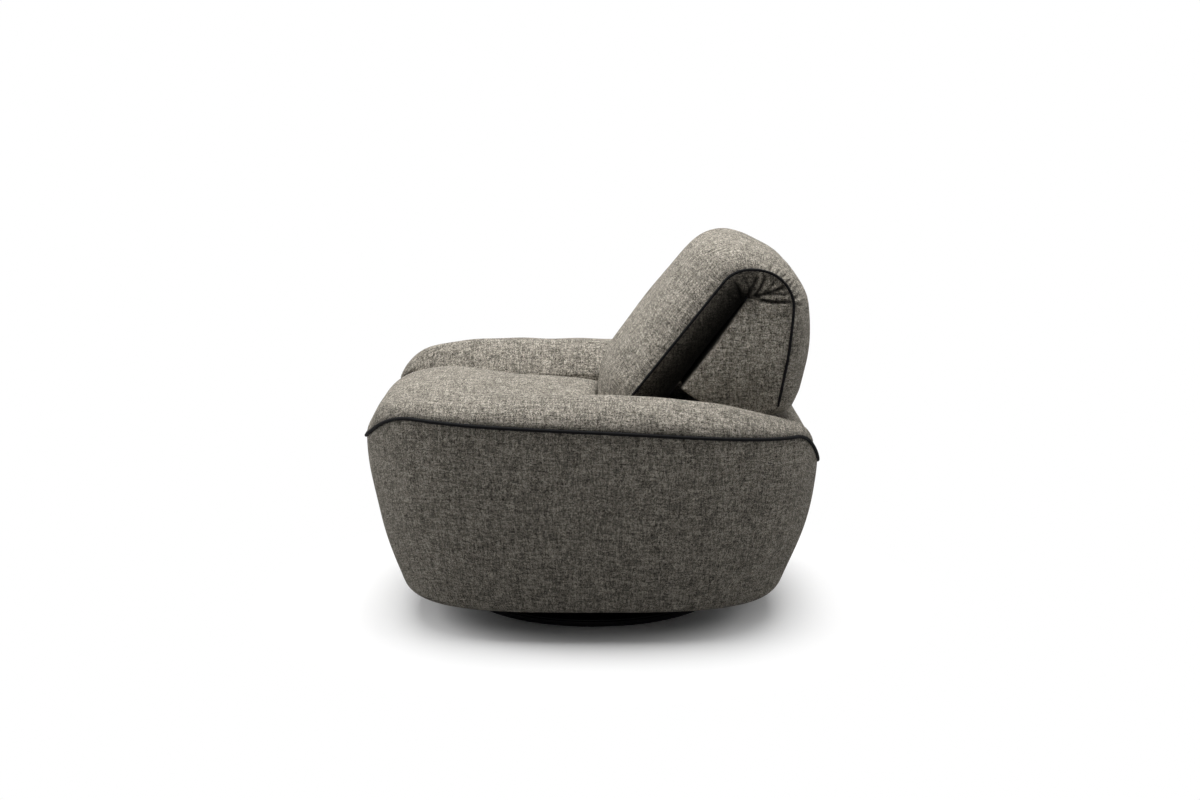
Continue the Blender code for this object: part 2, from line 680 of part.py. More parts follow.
def back_face_y(x, z):
    """Depth of the seat's rear face, which follows the slab with an ease."""
    out = BACK_EDGE_OUT + crown_at(x, BACK_CROWN)
    if z < BACK_FOOT_HEIGHT:
        face = min(slab_line_y(BACK_EDGE_OUT, z), slab_line_y(out, BACK_FOOT_HEIGHT))
    else:
        face = slab_line_y(out, z)
    return face - SEAT_REAR_EASE


def seat_section(x, rolls=8, tops=4):
    half = ARM_INNER_X - PAD_SETBACK
    y_out = -plan_y(x, PAD_SETBACK)
    base = seam_z(y_out) + SEAM_FLANGE
    low = DECK_HEIGHT + TOUCH
    y_step = -inner_wall_y(x, low, base) + SOFT_FIT
    crown = (1 - min(1, abs(x) / half) ** SEAT_CROWN_POWER) ** 0.5
    top = SEAT_CROWN_HEIGHT - SEAT_SIDE_DROP * (1 - crown)
    rear_top = top - SEAT_FALL
    y_rear = back_face_y(x, rear_top - SEAT_REAR_ROUND)
    points = []
    for k in range(rolls + 1):
        turn = math.pi / 2 * k / rolls
        points.append((y_out + SEAT_FRONT_ROLL * (1 - math.cos(turn)), base + (top - base) * math.sin(turn)))
    y_roll = y_out + SEAT_FRONT_ROLL
    for k in range(1, tops + 1):
        share = k / tops
        points.append((y_roll + (y_rear - SEAT_REAR_ROUND - y_roll) * share,
                       top - SEAT_FALL * share ** SEAT_FALL_POWER))
    for k in range(4):
        z = rear_top - SEAT_REAR_ROUND + (low - rear_top + SEAT_REAR_ROUND) * k / 3
        points.append((back_face_y(x, z), z))
    points += [(y_step, low), (y_step, step_seam_z(x, -1) + 2 * SEAM_FLANGE)]
    return [Vector((x, y, z)) for y, z in points]


def build_seat():
    half = ARM_INNER_X - PAD_SETBACK
    add_loft("seat_cushion", [seat_section(half * share) for share in spread(15)], TWEED, SWIVEL_AXIS)
    deck_low = DECK_HEIGHT - DECK_THICKNESS
    add_block("seat_deck_felt", (-DECK_HALF_WIDTH, FRONT_RAIL_Y - NOSE_BOARD_SEAT + TOUCH, deck_low),
              (DECK_HALF_WIDTH, SEAT_REAR_RAIL_Y + BOARD, DECK_HEIGHT), FELT, SWIVEL_AXIS)


def build_springs():
    start = FRONT_RAIL_Y - SPRING_END_SEAT
    end = SEAT_REAR_RAIL_Y + SPRING_END_SEAT
    low = FRONT_RAIL_TOP + TOUCH + SPRING_WIRE_RADIUS
    arch = DECK_HEIGHT - DECK_THICKNESS - TOUCH - SPRING_WIRE_RADIUS - low
    steps = SPRING_WAVES * SPRING_STEPS
    for index in range(SPRING_COUNT):
        centre = SPRING_PITCH * (index - (SPRING_COUNT - 1) / 2)
        path = []
        for k in range(steps + 1):
            share = k / steps
            swing = SPRING_SWING * math.sin(math.tau * SPRING_WAVES * share)
            path.append(Vector((centre + swing, start + (end - start) * share,
                                low + arch * math.sin(math.pi * share) ** 2)))
        outs = []
        for k in range(len(path)):
            along = path[min(k + 1, steps)] - path[max(k - 1, 0)]
            outs.append(Vector((along.y, -along.x, 0)).normalized())
        add_tube(f"seat_spring_{index + 1}", path, outs, [Vector((0, 0, 1))] * len(path),
                 SPRING_WIRE_RADIUS, 4, SPRING_STEEL, SWIVEL_AXIS)
    clip_low = low + SPRING_WIRE_RADIUS + TOUCH
    half = SPRING_PITCH * (SPRING_COUNT - 1) / 2 + CLIP_OVERHANG
    for name, edge, reach in (("spring_clip_front", start, 1), ("spring_clip_rear", end, -1)):
        ends = sorted((edge, edge + reach * CLIP_OVERHANG / 2))
        add_block(name, (-half, ends[0], clip_low), (half, ends[1], clip_low + CLIP_THICKNESS),
                  SPRING_STEEL, SWIVEL_AXIS)


# Wooden frame

def plan_outline(inset_x, inset_y, z, points=44):
    return [Vector((*plan_point(math.tau * k / points, inset_x, inset_y), z)) for k in range(points)]


def build_floor():
    inset_x = SIDE_TAPER + COVER_THICKNESS + SOFT_FIT
    inset_y = END_TAPER + COVER_THICKNESS + SOFT_FIT
    board = add_prism("bottom_board", plan_outline(inset_x, inset_y, BOTTOM_BOARD_Z),
                      Vector((0, 0, BOARD)), PLYWOOD, SWIVEL_AXIS)
    low, high = BOTTOM_BOARD_Z - OVERRUN, FLOOR_Z + OVERRUN
    bore = [(0, low), (RISER_BORE, low), (RISER_BORE, high), (0, high)]
    combine(board, add_turned("bottom_board_bore", bore, None, SWIVEL_AXIS, 24), "DIFFERENCE")
    inset_x = SIDE_TAPER + HEM_LIP + SOFT_FIT
    inset_y = END_TAPER + HEM_LIP + SOFT_FIT
    cover_low = BOTTOM_BOARD_Z - TOUCH - DUST_COVER
    cover = add_prism("dust_cover", plan_outline(inset_x, inset_y, cover_low), Vector((0, 0, DUST_COVER)),
                      CAMBRIC, SWIVEL_AXIS)
    low, high = cover_low - OVERRUN, cover_low + OVERRUN
    hole_radius = BEARING_RADIUS + DUST_COVER_MARGIN
    hole = [(0, low), (hole_radius, low), (hole_radius, high), (0, high)]
    combine(cover, add_turned("dust_cover_hole", hole, None, SWIVEL_AXIS, 32), "DIFFERENCE")


def side_panel_outline(x):
    """Side board with ends that follow the taper of the tub inside its cover."""
    steps = 5
    heights = [FRAME_FLOOR_Z + (SIDE_PANEL_TOP - FRAME_FLOOR_Z) * k / steps for k in range(steps + 1)]
    outer = abs(x) + BOARD
    reach = [min(SIDE_PANEL_Y, inner_wall_y(outer, z, SEAM_HEIGHT) - SOFT_FIT) for z in heights]
    front = [Vector((x, -y, z)) for y, z in zip(reach, heights)]
    rear = [Vector((x, y, z)) for y, z in zip(reach, heights)]
    return front + rear[::-1]


def rib_outline(y):
    """Rib across the arm, whose outer edge is the shape of the tub inside its cover."""
    inner = SIDE_PANEL_X + BOARD + TOUCH
    low = FRAME_FLOOR_Z
    far = y + math.copysign(RIB / 2, y)
    high = min(seam_z(far), seam_z(y - math.copysign(RIB / 2, y))) - BOARD - TOUCH
    steps = 7
    edge = []
    for k in range(steps + 1):
        z = low + (high - low) * k / steps
        edge.append(Vector((inner_wall_x(far, z) - SOFT_FIT, y - RIB / 2, z)))
    tuck = ARM_INNER_X + ARM_TUCK + TOUCH
    corner = [Vector((x, y - RIB / 2, z)) for x, z in
              ((tuck, high), (tuck, SIDE_PANEL_TOP), (inner, SIDE_PANEL_TOP))]
    return [Vector((inner, y - RIB / 2, low))] + edge + corner


def arm_board_outline(z_drop):
    """Sloping board under the arm pad, from the tuck of the pad to the tub cover."""
    inner = ARM_INNER_X + ARM_TUCK + TOUCH
    steps = 8
    ys = [ARM_BOARD_Y * (2 * k / steps - 1) for k in range(steps + 1)]
    outer = [Vector((inner_wall_x(y, seam_z(y) - BOARD) - SOFT_FIT, y, seam_z(y) - z_drop)) for y in ys]
    return [Vector((inner, -ARM_BOARD_Y, seam_z(-ARM_BOARD_Y) - z_drop))] + outer + \
           [Vector((inner, ARM_BOARD_Y, seam_z(ARM_BOARD_Y) - z_drop))]


def build_arm_frames():
    for side, sign in (("left", 1), ("right", -1)):
        flip = (lambda rings: rings) if sign > 0 else mirror
        panel = side_panel_outline(SIDE_PANEL_X)
        add_loft(f"side_panel_{side}", flip([panel, [p + Vector((BOARD, 0, 0)) for p in panel]]),
                 PLYWOOD, SWIVEL_AXIS)
        for place, y in (("front", -RIB_Y), ("rear", RIB_Y)):
            rib = rib_outline(y)
            add_loft(f"arm_rib_{place}_{side}", flip([rib, [p + Vector((0, RIB, 0)) for p in rib]]),
                     PLYWOOD, SWIVEL_AXIS)
        board = arm_board_outline(BOARD - SEAM_FLANGE + TOUCH)
        lift = Vector((0, 0, BOARD - TOUCH))
        add_loft(f"arm_board_{side}", flip([board, [p + lift for p in board]]), PLYWOOD, SWIVEL_AXIS)


def curved_board(name, y_edge, top, sign, fit, thickness=BOARD):
    """Board between the side panels whose outer edge follows the tub cover."""
    half = ARM_INNER_X - TOUCH
    low = top - thickness
    steps = 10
    points = [Vector((half * (2 * k / steps - 1), 0, low)) for k in range(steps + 1)]
    for p in points:
        seam = seam_z(sign * plan_y(p.x))
        p.y = sign * (inner_wall_y(p.x, min(low, seam), seam) - fit)
    outline = points + [Vector((half, y_edge, low)), Vector((-half, y_edge, low))]
    return add_prism(name, outline, Vector((0, 0, thickness)), PLYWOOD, SWIVEL_AXIS)


def build_rails():
    half = ARM_INNER_X
    add_block("front_rail", (-half, FRONT_RAIL_Y - RAIL, FRAME_FLOOR_Z), (half, FRONT_RAIL_Y, FRONT_RAIL_TOP),
              PLYWOOD, SWIVEL_AXIS)
    nose_top = DECK_HEIGHT
    curved_board("seat_nose_board", FRONT_RAIL_Y - NOSE_BOARD_SEAT, nose_top, -1, SOFT_FIT, NOSE_BOARD)
    add_block("seat_rear_rail", (-half, SEAT_REAR_RAIL_Y, SEAT_REAR_RAIL_LOW),
              (half, SEAT_REAR_RAIL_Y + BOARD, FRONT_RAIL_TOP), PLYWOOD, SWIVEL_AXIS)
    shelf_low = SHELF_HEIGHT - BOARD
    add_block("tub_rear_rail", (-half, TUB_REAR_RAIL_Y, FRAME_FLOOR_Z),
              (half, TUB_REAR_RAIL_Y + RAIL, shelf_low - TOUCH), PLYWOOD, SWIVEL_AXIS)
    curved_board("rear_shelf", SHELF_FRONT, SHELF_HEIGHT, 1, 2 * SOFT_FIT)


# Back slab: cushion with a pocket for its board, posts and rear pad

def back_rear_out(up):
    """Out-distance of the slab's rear face, which thins towards the seat."""
    band = max(SIDE_BAND_FOOT, SIDE_BAND_TOP + SIDE_BAND_SHARE * up)
    return BACK_EDGE_OUT - band


def back_foot_up():
    """Where the slab stands on the seat deck, measured down from the hinge line."""
    out = BACK_EDGE_OUT - SIDE_BAND_FOOT
    return (DECK_HEIGHT + TOUCH - HINGE_HEIGHT - BACK_OUT.z * out) / BACK_UP.z


def slab_ring(up):
    half = BACK_WIDTH / 2
    ring = [back_point(half * s, up, slab_out(half * s, up)) for s in spread(15)]
    rear = back_rear_out(up)
    return ring + [back_point(half, up, rear), back_point(-half, up, rear)]


def hinge_bore(name, radius, axis):
    """Cylinder along the hinge line, through the whole width of the back."""
    half = BACK_WIDTH / 2 + OVERRUN
    ring = []
    for k in range(16):
        turn = math.tau * k / 16
        ring.append(HINGE + Vector((-half, radius * math.cos(turn), radius * math.sin(turn))))
    return add_prism(name, ring, Vector((2 * half, 0, 0)), None, axis)


def build_back_slab():
    foot = back_foot_up()
    plumb_end = knee_up(BACK_CROWN) - BACK_CROWN * BACK_UP.z / BACK_UP.y
    ups = [foot]
    for start, end, steps in ((foot, plumb_end, 2), (plumb_end, knee_up(0), 6), (knee_up(0), -TOUCH, 3)):
        ups += [start + (end - start) * (k + 1) / steps for k in range(steps)]
    slab = add_loft("back_cushion", [slab_ring(up) for up in ups], TWEED, SWIVEL_AXIS)
    pocket = [back_point(-POCKET_HALF_WIDTH, up, out) for up, out in
              ((foot - OVERRUN, -OVERRUN), (OVERRUN, -OVERRUN),
               (OVERRUN, POST_OUT + POST_DEPTH + TOUCH), (foot - OVERRUN, POST_OUT + POST_DEPTH + TOUCH))]
    combine(slab, add_prism("back_pocket", pocket, Vector((2 * POCKET_HALF_WIDTH, 0, 0)), None, SWIVEL_AXIS),
            "DIFFERENCE")
    combine(slab, hinge_bore("back_hinge_bore", FOLD_HOLLOW, SWIVEL_AXIS), "DIFFERENCE")
    half = POCKET_HALF_WIDTH - TOUCH
    top = -BACK_REAR_PAD_TOP
    knee = (SIDE_BAND_FOOT - SIDE_BAND_TOP) / SIDE_BAND_SHARE
    pad_out = POST_OUT - TOUCH
    outline = [back_point(-half, up, out) for up, out in
               ((foot, pad_out), (foot, back_rear_out(foot)), (knee, back_rear_out(knee)),
                (top, back_rear_out(top)), (top, pad_out))]
    add_prism("back_rear_pad", outline, Vector((2 * half, 0, 0)), TWEED, SWIVEL_AXIS)
    board_half = POST_X - TOUCH
    outline = [back_point(-board_half, up, out) for up, out in
               ((-BACK_BOARD_FOOT, POST_OUT), (-BACK_BOARD_FOOT, POST_OUT + POST_DEPTH),
                (-POST_TOP, POST_OUT + POST_DEPTH), (-POST_TOP, POST_OUT))]
    add_prism("back_board", outline, Vector((2 * board_half, 0, 0)), PLYWOOD, SWIVEL_AXIS)


def post_outline(x):
    """Back post: it leans with the back down to a knee under the seat's rear rail, and is plumb below."""
    knee_z = SEAT_REAR_RAIL_LOW - POST_KNEE_DROP
    outline = []
    for out in (POST_OUT, POST_OUT + POST_DEPTH):
        knee = (knee_z - HINGE_HEIGHT - BACK_OUT.z * out) / BACK_UP.z
        bend = back_point(x, knee, out)
        side = [Vector((bend.x, bend.y, FRAME_FLOOR_Z)), bend, back_point(x, -POST_TOP, out)]
        outline += side if out == POST_OUT else side[::-1]
    return outline


def build_posts():
    for side, sign in (("left", 1), ("right", -1)):
        outline = post_outline(sign * POST_X)
        add_prism(f"back_post_{side}", outline, Vector((sign * POST_WIDTH, 0, 0)), PLYWOOD, SWIVEL_AXIS)


# Headrest and the soft fold between it and the slab

def rest_point(x, out, down):
    """Point of the headrest: out of its outer face and down it from the hinge line."""
    return HINGE + REST_OUT * out + REST_DOWN * down + Vector((x, 0, 0))


INNER_TURN = math.atan(HEADREST_WEDGE_SHARE)


def inner_face_point(x, along, depth):
    """Point along the headrest's inner face from the hinge line and into its foam."""
    out = -math.sin(INNER_TURN) * along + math.cos(INNER_TURN) * depth
    down = math.cos(INNER_TURN) * along + math.sin(INNER_TURN) * depth
    return rest_point(x, out, down)


def headrest_ring(down):
    inner = -HEADREST_INNER_START - HEADREST_WEDGE_SHARE * down
    low = max(inner, -math.sqrt(max(0, HEADREST_BASE_RADIUS ** 2 - down ** 2)))
    share = max(0, (down - HEADREST_ROUND_START) / (HEADREST_LENGTH - HEADREST_ROUND_START))
    fullness = math.sqrt(1 - share ** 2)
    high = HEADREST_ROUND_CENTRE + (REST_EDGE_OUT - HEADREST_ROUND_CENTRE) * fullness
    if down > HEADREST_ROUND_START:
        low = max(low, HEADREST_ROUND_CENTRE - (HEADREST_ROUND_CENTRE - inner) * fullness)
    half = BACK_WIDTH / 2
    belly = HEADREST_BELLY * math.sin(math.pi / 2 * min(1, down / HEADREST_BELLY_DOWN))
    crown = (FOLD_CROWNS[-1] + belly) * fullness
    ring = [rest_point(half * s, high + crown_at(half * s, crown), down) for s in spread(15)]
    return ring + [rest_point(half, low, down), rest_point(-half, low, down)]


def build_headrest():
    straight = [TOUCH + (HEADREST_ROUND_START - TOUCH) * k / 5 for k in range(6)]
    rounding = HEADREST_LENGTH - HEADREST_TIP - HEADREST_ROUND_START
    bottom = [HEADREST_ROUND_START + rounding * math.sin(math.pi / 2 * k / 6) for k in range(1, 7)]
    rest = add_loft("headrest_cushion", [headrest_ring(d) for d in straight + bottom], TWEED, HEADREST_AXIS)
    depth = HEADREST_BOARD_DEPTH + POST_DEPTH + TOUCH
    pocket = [inner_face_point(-POCKET_HALF_WIDTH, along, d) for along, d in
              ((-OVERRUN, -OVERRUN), (HEADREST_POCKET_END, -OVERRUN), (HEADREST_POCKET_END, depth),
               (-OVERRUN, depth))]
    combine(rest, add_prism("headrest_pocket", pocket, Vector((2 * POCKET_HALF_WIDTH, 0, 0)), None,
                            HEADREST_AXIS), "DIFFERENCE")
    combine(rest, hinge_bore("headrest_hinge_bore", FOLD_HOLLOW, HEADREST_AXIS), "DIFFERENCE")
    face = -HEADREST_INNER_START * math.cos(INNER_TURN)
    half = POCKET_HALF_WIDTH - TOUCH
    outline = [inner_face_point(-half, along, d) for along, d in
               ((HEADREST_PAD_START, face), (HEADREST_POCKET_END - TOUCH, face),
                (HEADREST_POCKET_END - TOUCH, HEADREST_BOARD_DEPTH - TOUCH),
                (HEADREST_PAD_START, HEADREST_BOARD_DEPTH - TOUCH))]
    add_prism("headrest_inner_pad", outline, Vector((2 * half, 0, 0)), TWEED, HEADREST_AXIS)
    half = fork_inner_x() - TOUCH
    outline = [inner_face_point(-half, along, d) for along, d in
               ((HEADREST_BOARD_START, HEADREST_BOARD_DEPTH), (HEADREST_BOARD_END, HEADREST_BOARD_DEPTH),
                (HEADREST_BOARD_END, HEADREST_BOARD_DEPTH + POST_DEPTH),
                (HEADREST_BOARD_START, HEADREST_BOARD_DEPTH + POST_DEPTH))]
    add_prism("headrest_board", outline, Vector((2 * half, 0, 0)), PLYWOOD, HEADREST_AXIS)


def fold_direction(turn):
    return Vector((0, math.cos(turn), math.sin(turn)))


def fold_turns(steps):
    """Turns round the hinge line from the slab's end to the headrest's end."""
    start = math.atan2(BACK_OUT.z, BACK_OUT.y) - math.radians(FOLD_ANGLE_GAP)
    end = math.atan2(REST_OUT.z, REST_OUT.y) + math.radians(FOLD_ANGLE_GAP)
    return [start + (end - start) * k / steps for k in range(steps + 1)]


def build_fold(steps=12):
    rings = []
    half = BACK_WIDTH / 2
    for k, turn in enumerate(fold_turns(steps)):
        direction = fold_direction(turn)
        reach = fold_reach(direction)
        crown = fold_crown(k / steps)
        ring = [HINGE + direction * (reach + crown_at(half * s, crown)) + Vector((half * s, 0, 0))
                for s in spread(15)]
        inner = HINGE + direction * (FOLD_HOLLOW + TOUCH)
        rings.append(ring + [inner + Vector((half, 0, 0)), inner - Vector((half, 0, 0))])
    add_loft("fold_cushion", rings, TWEED, SWIVEL_AXIS)


def build_back_piping():
    """Piping down both side edges, in three lengths: slab, fold and headrest."""
    stand = BACK_WIDTH / 2 + PIPING_RADIUS + TOUCH
    cut = TOUCH + PIPING_STAND_OFF / 4
    foot = back_foot_up()
    slab_ups = [foot + PIPING_RADIUS * 2 + (-cut - foot - PIPING_RADIUS * 2) * k / 4 for k in range(5)]
    rest_downs = [cut + (HEADREST_ROUND_START - cut) * k / 3 for k in range(4)]
    for side, sign in (("left", 1), ("right", -1)):
        across = Vector((sign, 0, 0))
        path = [back_point(sign * stand, up, BACK_EDGE_OUT) for up in slab_ups]
        add_tube(f"back_piping_{side}", path, [across] * 5, [BACK_OUT] * 5, PIPING_RADIUS, 6, PIPING,
                 SWIVEL_AXIS)
        path = [rest_point(sign * stand, REST_EDGE_OUT, down) for down in rest_downs]
        add_tube(f"headrest_piping_{side}", path, [across] * 4, [REST_OUT] * 4, PIPING_RADIUS, 6, PIPING,
                 HEADREST_AXIS)
        ways = [fold_direction(turn) for turn in fold_turns(12)]
        path = [HINGE + way * fold_reach(way) + across * stand for way in ways]
        add_tube(f"fold_piping_{side}", path, [across] * 13, ways, PIPING_RADIUS, 6, PIPING, SWIVEL_AXIS)


# Ratchet hinges of the headrest

def arm_inner_x():
    return POST_X + POST_WIDTH + TOUCH


def fork_inner_x():
    return arm_inner_x() - TOUCH - HINGE_CHEEK


def toothed_eye(x, radius, teeth):
    """Eye of a ratchet arm seen along the hinge line, with one flank of each tooth steep."""
    points = []
    for k in range(teeth):
        turn = math.tau * k / teeth
        points.append((turn, radius))
        points.append((turn + math.tau / teeth * HINGE_FLANK_SHARE, radius + HINGE_TOOTH))
    return [HINGE + fold_direction(turn) * reach + Vector((x, 0, 0)) for turn, reach in points]


def round_eye(x, radius, facets=18):
    return [HINGE + fold_direction(math.tau * k / facets) * radius + Vector((x, 0, 0)) for k in range(facets)]


def pin_bore(name, sign, axis):
    radius = HINGE_PIN_RADIUS + HINGE_PIN_PLAY
    ring = round_eye(sign * (POST_X - OVERRUN), radius, 12)
    return add_prism(name, ring, Vector((sign * (POST_WIDTH + 3 * OVERRUN), 0, 0)), None, axis)


def build_hinges():
    for side, sign in (("left", 1), ("right", -1)):
        x = sign * arm_inner_x()
        travel = Vector((sign * HINGE_PLATE, 0, 0))
        centre = POST_OUT + POST_DEPTH / 2
        bar = [back_point(x, up, out) for up, out in
               ((-HINGE_ARM_LENGTH, centre - HINGE_BAR_HALF), (-POST_TOP, centre - HINGE_BAR_HALF),
                (HINGE_NECK_HALF / 2, -HINGE_NECK_HALF / 2), (-HINGE_NECK_HALF / 2, HINGE_NECK_HALF * 1.5),
                (-POST_TOP, centre + HINGE_BAR_HALF), (-HINGE_ARM_LENGTH, centre + HINGE_BAR_HALF))]
        arm = add_prism(f"headrest_hinge_arm_{side}", bar, travel, ZINC, SWIVEL_AXIS)
        eye = add_prism(f"arm_eye_{side}", toothed_eye(x, HINGE_EYE_RADIUS, HINGE_TEETH), travel, None,
                        SWIVEL_AXIS)
        combine(arm, eye, "UNION")
        combine(arm, pin_bore(f"arm_bore_{side}", sign, SWIVEL_AXIS), "DIFFERENCE")
        build_fork(side, sign)
        build_pin(side, sign)


def build_fork(side, sign):
    """Moving half: two cheeks round the fixed eye, joined in one bar in the headrest."""
    low = fork_inner_x()
    high = arm_inner_x() + HINGE_PLATE + TOUCH + HINGE_CHEEK
    centre = HEADREST_BOARD_DEPTH + POST_DEPTH / 2
    bar = [inner_face_point(sign * low, along, d) for along, d in
           ((HINGE_FORK_ROOT, centre - HINGE_BAR_HALF), (HINGE_FORK_LENGTH, centre - HINGE_BAR_HALF),
            (HINGE_FORK_LENGTH, centre + HINGE_BAR_HALF), (HINGE_FORK_ROOT, centre + HINGE_BAR_HALF))]
    fork = add_prism(f"headrest_hinge_fork_{side}", bar, Vector((sign * (high - low), 0, 0)), ZINC,
                     HEADREST_AXIS)
    lap = HINGE_FORK_ROOT + HINGE_BAR_HALF
    for place, start in (("inner", low), ("outer", high - HINGE_CHEEK)):
        x, travel = sign * start, Vector((sign * HINGE_CHEEK, 0, 0))
        neck = [inner_face_point(x, along, d) for along, d in
                ((0, -HINGE_NECK_HALF), (lap, centre - HINGE_BAR_HALF + TOUCH),
                 (lap, centre + HINGE_BAR_HALF - TOUCH), (0, HINGE_NECK_HALF))]
        combine(fork, add_prism(f"fork_neck_{place}_{side}", neck, travel, None, HEADREST_AXIS), "UNION")
        cheek = add_prism(f"fork_eye_{place}_{side}", round_eye(x, HINGE_EYE_RADIUS), travel, None,
                          HEADREST_AXIS)
        combine(fork, cheek, "UNION")
    combine(fork, pin_bore(f"fork_bore_{side}", sign, HEADREST_AXIS), "DIFFERENCE")


def build_pin(side, sign):
    low = fork_inner_x() - TOUCH
    high = arm_inner_x() + HINGE_PLATE + TOUCH + HINGE_CHEEK + TOUCH
    stations = ((low - HINGE_PIN_HEAD_THICKNESS, HINGE_PIN_HEAD), (low, HINGE_PIN_HEAD),
                (low, HINGE_PIN_RADIUS), (high, HINGE_PIN_RADIUS), (high, HINGE_PIN_HEAD),
                (high + HINGE_PIN_HEAD_THICKNESS, HINGE_PIN_HEAD))
    add_loft(f"headrest_hinge_pin_{side}", [round_eye(sign * x, radius, 12) for x, radius in stations], ZINC,
             SWIVEL_AXIS)


build_base()
build_bearing()
build_floor()
build_arm_frames()
build_rails()
build_springs()
build_seat()
build_cover()
build_arms()
build_rear_pad()
build_seam_piping()
build_back_slab()
build_posts()
build_headrest()
build_fold()
build_back_piping()
build_hinges()
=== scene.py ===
"""Low tub armchair in tweed on a turning round base, its headrest folded over the back.

The chair faces -Y and +Z is up. Lengths are in metres and angles in degrees.
"""
import math

import bmesh
import bpy
import numpy as np
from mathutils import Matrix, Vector
from mathutils.bvhtree import BVHTree


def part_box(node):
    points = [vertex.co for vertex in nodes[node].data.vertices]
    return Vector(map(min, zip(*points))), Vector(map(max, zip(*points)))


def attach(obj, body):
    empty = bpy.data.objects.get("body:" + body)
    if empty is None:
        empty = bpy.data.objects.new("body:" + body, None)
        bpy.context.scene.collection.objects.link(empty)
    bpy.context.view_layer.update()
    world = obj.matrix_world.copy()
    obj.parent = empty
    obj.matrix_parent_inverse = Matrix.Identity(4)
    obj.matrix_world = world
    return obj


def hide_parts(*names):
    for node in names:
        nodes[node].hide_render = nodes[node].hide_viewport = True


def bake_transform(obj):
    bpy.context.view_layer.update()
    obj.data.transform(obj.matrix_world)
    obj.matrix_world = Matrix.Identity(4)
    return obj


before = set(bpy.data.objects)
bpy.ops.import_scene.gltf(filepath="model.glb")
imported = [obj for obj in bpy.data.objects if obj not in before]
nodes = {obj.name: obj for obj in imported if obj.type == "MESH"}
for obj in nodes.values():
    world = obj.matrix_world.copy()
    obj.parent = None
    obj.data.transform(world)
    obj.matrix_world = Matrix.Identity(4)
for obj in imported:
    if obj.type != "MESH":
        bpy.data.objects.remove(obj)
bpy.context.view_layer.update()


# Lacquered base disc
# A round steel plate that the chair turns on, with a lower step round its rim. It is turned,
# its corners are broken, and it is sprayed in a blue-black satin lacquer.

DISC_RADIUS = 0.270
DISC_STEP_SETBACK = 0.007
DISC_STEP = 0.0025
DISC_EDGE = 0.0012
DISC_COUNT = 180
LACQUER_COLOUR = (0.0030, 0.0031, 0.0048)
LACQUER_ROUGHNESS = 0.38
LACQUER_COAT = 0.10
COAT_ROUGHNESS = 0.2
SPRAY_GRAIN = 900.0
SPRAY_DEPTH = 0.00004
SPRAY_SHINE = 0.25
RUB_GRAIN = 18.0
RUB_DETAIL = 4.0
RUB_START = 0.35
RUB_END = 0.75
RUB_PALENESS = 2.2
RUB_POLISH = 0.06
RUB_DULLNESS = 0.14
CORNER_STEPS = 4
SHARP_ANGLE = 50


def start_finish(name, roughness, metallic=0.0):
    """New material, with its node tree and its shader."""
    finish = bpy.data.materials.new(name)
    finish.use_nodes = True
    shader = finish.node_tree.nodes["Principled BSDF"]
    shader.inputs["Roughness"].default_value = roughness
    shader.inputs["Metallic"].default_value = metallic
    return finish, finish.node_tree, shader


def place_on(tree, source="Object", stretch=(1, 1, 1)):
    """Coordinates on the piece itself, stretched along its axes."""
    coordinates = tree.nodes.new("ShaderNodeTexCoord")
    mapping = tree.nodes.new("ShaderNodeMapping")
    mapping.inputs["Scale"].default_value = stretch
    tree.links.new(coordinates.outputs[source], mapping.inputs["Vector"])
    return mapping.outputs["Vector"]


def cloud(tree, place, scale, detail=2.0):
    """Smooth noise at a number of waves for each metre."""
    noise = tree.nodes.new("ShaderNodeTexNoise")
    noise.inputs["Scale"].default_value = scale
    noise.inputs["Detail"].default_value = detail
    tree.links.new(place, noise.inputs["Vector"])
    return noise.outputs["Fac"]


def shade_between(tree, value, stops):
    """Colour ramp through stops of position and colour."""
    ramp = tree.nodes.new("ShaderNodeValToRGB")
    band = ramp.color_ramp
    while len(band.elements) < len(stops):
        band.elements.new(0.5)
    for element, (position, colour) in zip(band.elements, stops):
        element.position = position
        element.color = (*colour, 1) if hasattr(colour, "__len__") else (colour, colour, colour, 1)
    tree.links.new(value, ramp.inputs["Fac"])
    return ramp.outputs["Color"]


def spread_range(tree, value, low, high):
    """Turns a value from 0 to 1 into one from low to high."""
    step = tree.nodes.new("ShaderNodeMapRange")
    step.inputs["To Min"].default_value = low
    step.inputs["To Max"].default_value = high
    tree.links.new(value, step.inputs["Value"])
    return step.outputs["Result"]


def tint(tree, shader, value, stops):
    """Shader's colour, from a value through stops of position and colour."""
    tree.links.new(shade_between(tree, value, stops), shader.inputs["Base Color"])


def roughen(tree, shader, value, low, high):
    """Shader's roughness, from low to high with a value."""
    tree.links.new(spread_range(tree, value, low, high), shader.inputs["Roughness"])


def raise_grain(tree, shader, height, depth, below=None):
    """Bump of a real depth in metres, over another bump where there is one."""
    bump = tree.nodes.new("ShaderNodeBump")
    bump.inputs["Distance"].default_value = depth
    tree.links.new(height, bump.inputs["Height"])
    if below is not None:
        tree.links.new(below, bump.inputs["Normal"])
    tree.links.new(bump.outputs["Normal"], shader.inputs["Normal"])
    return bump.outputs["Normal"]


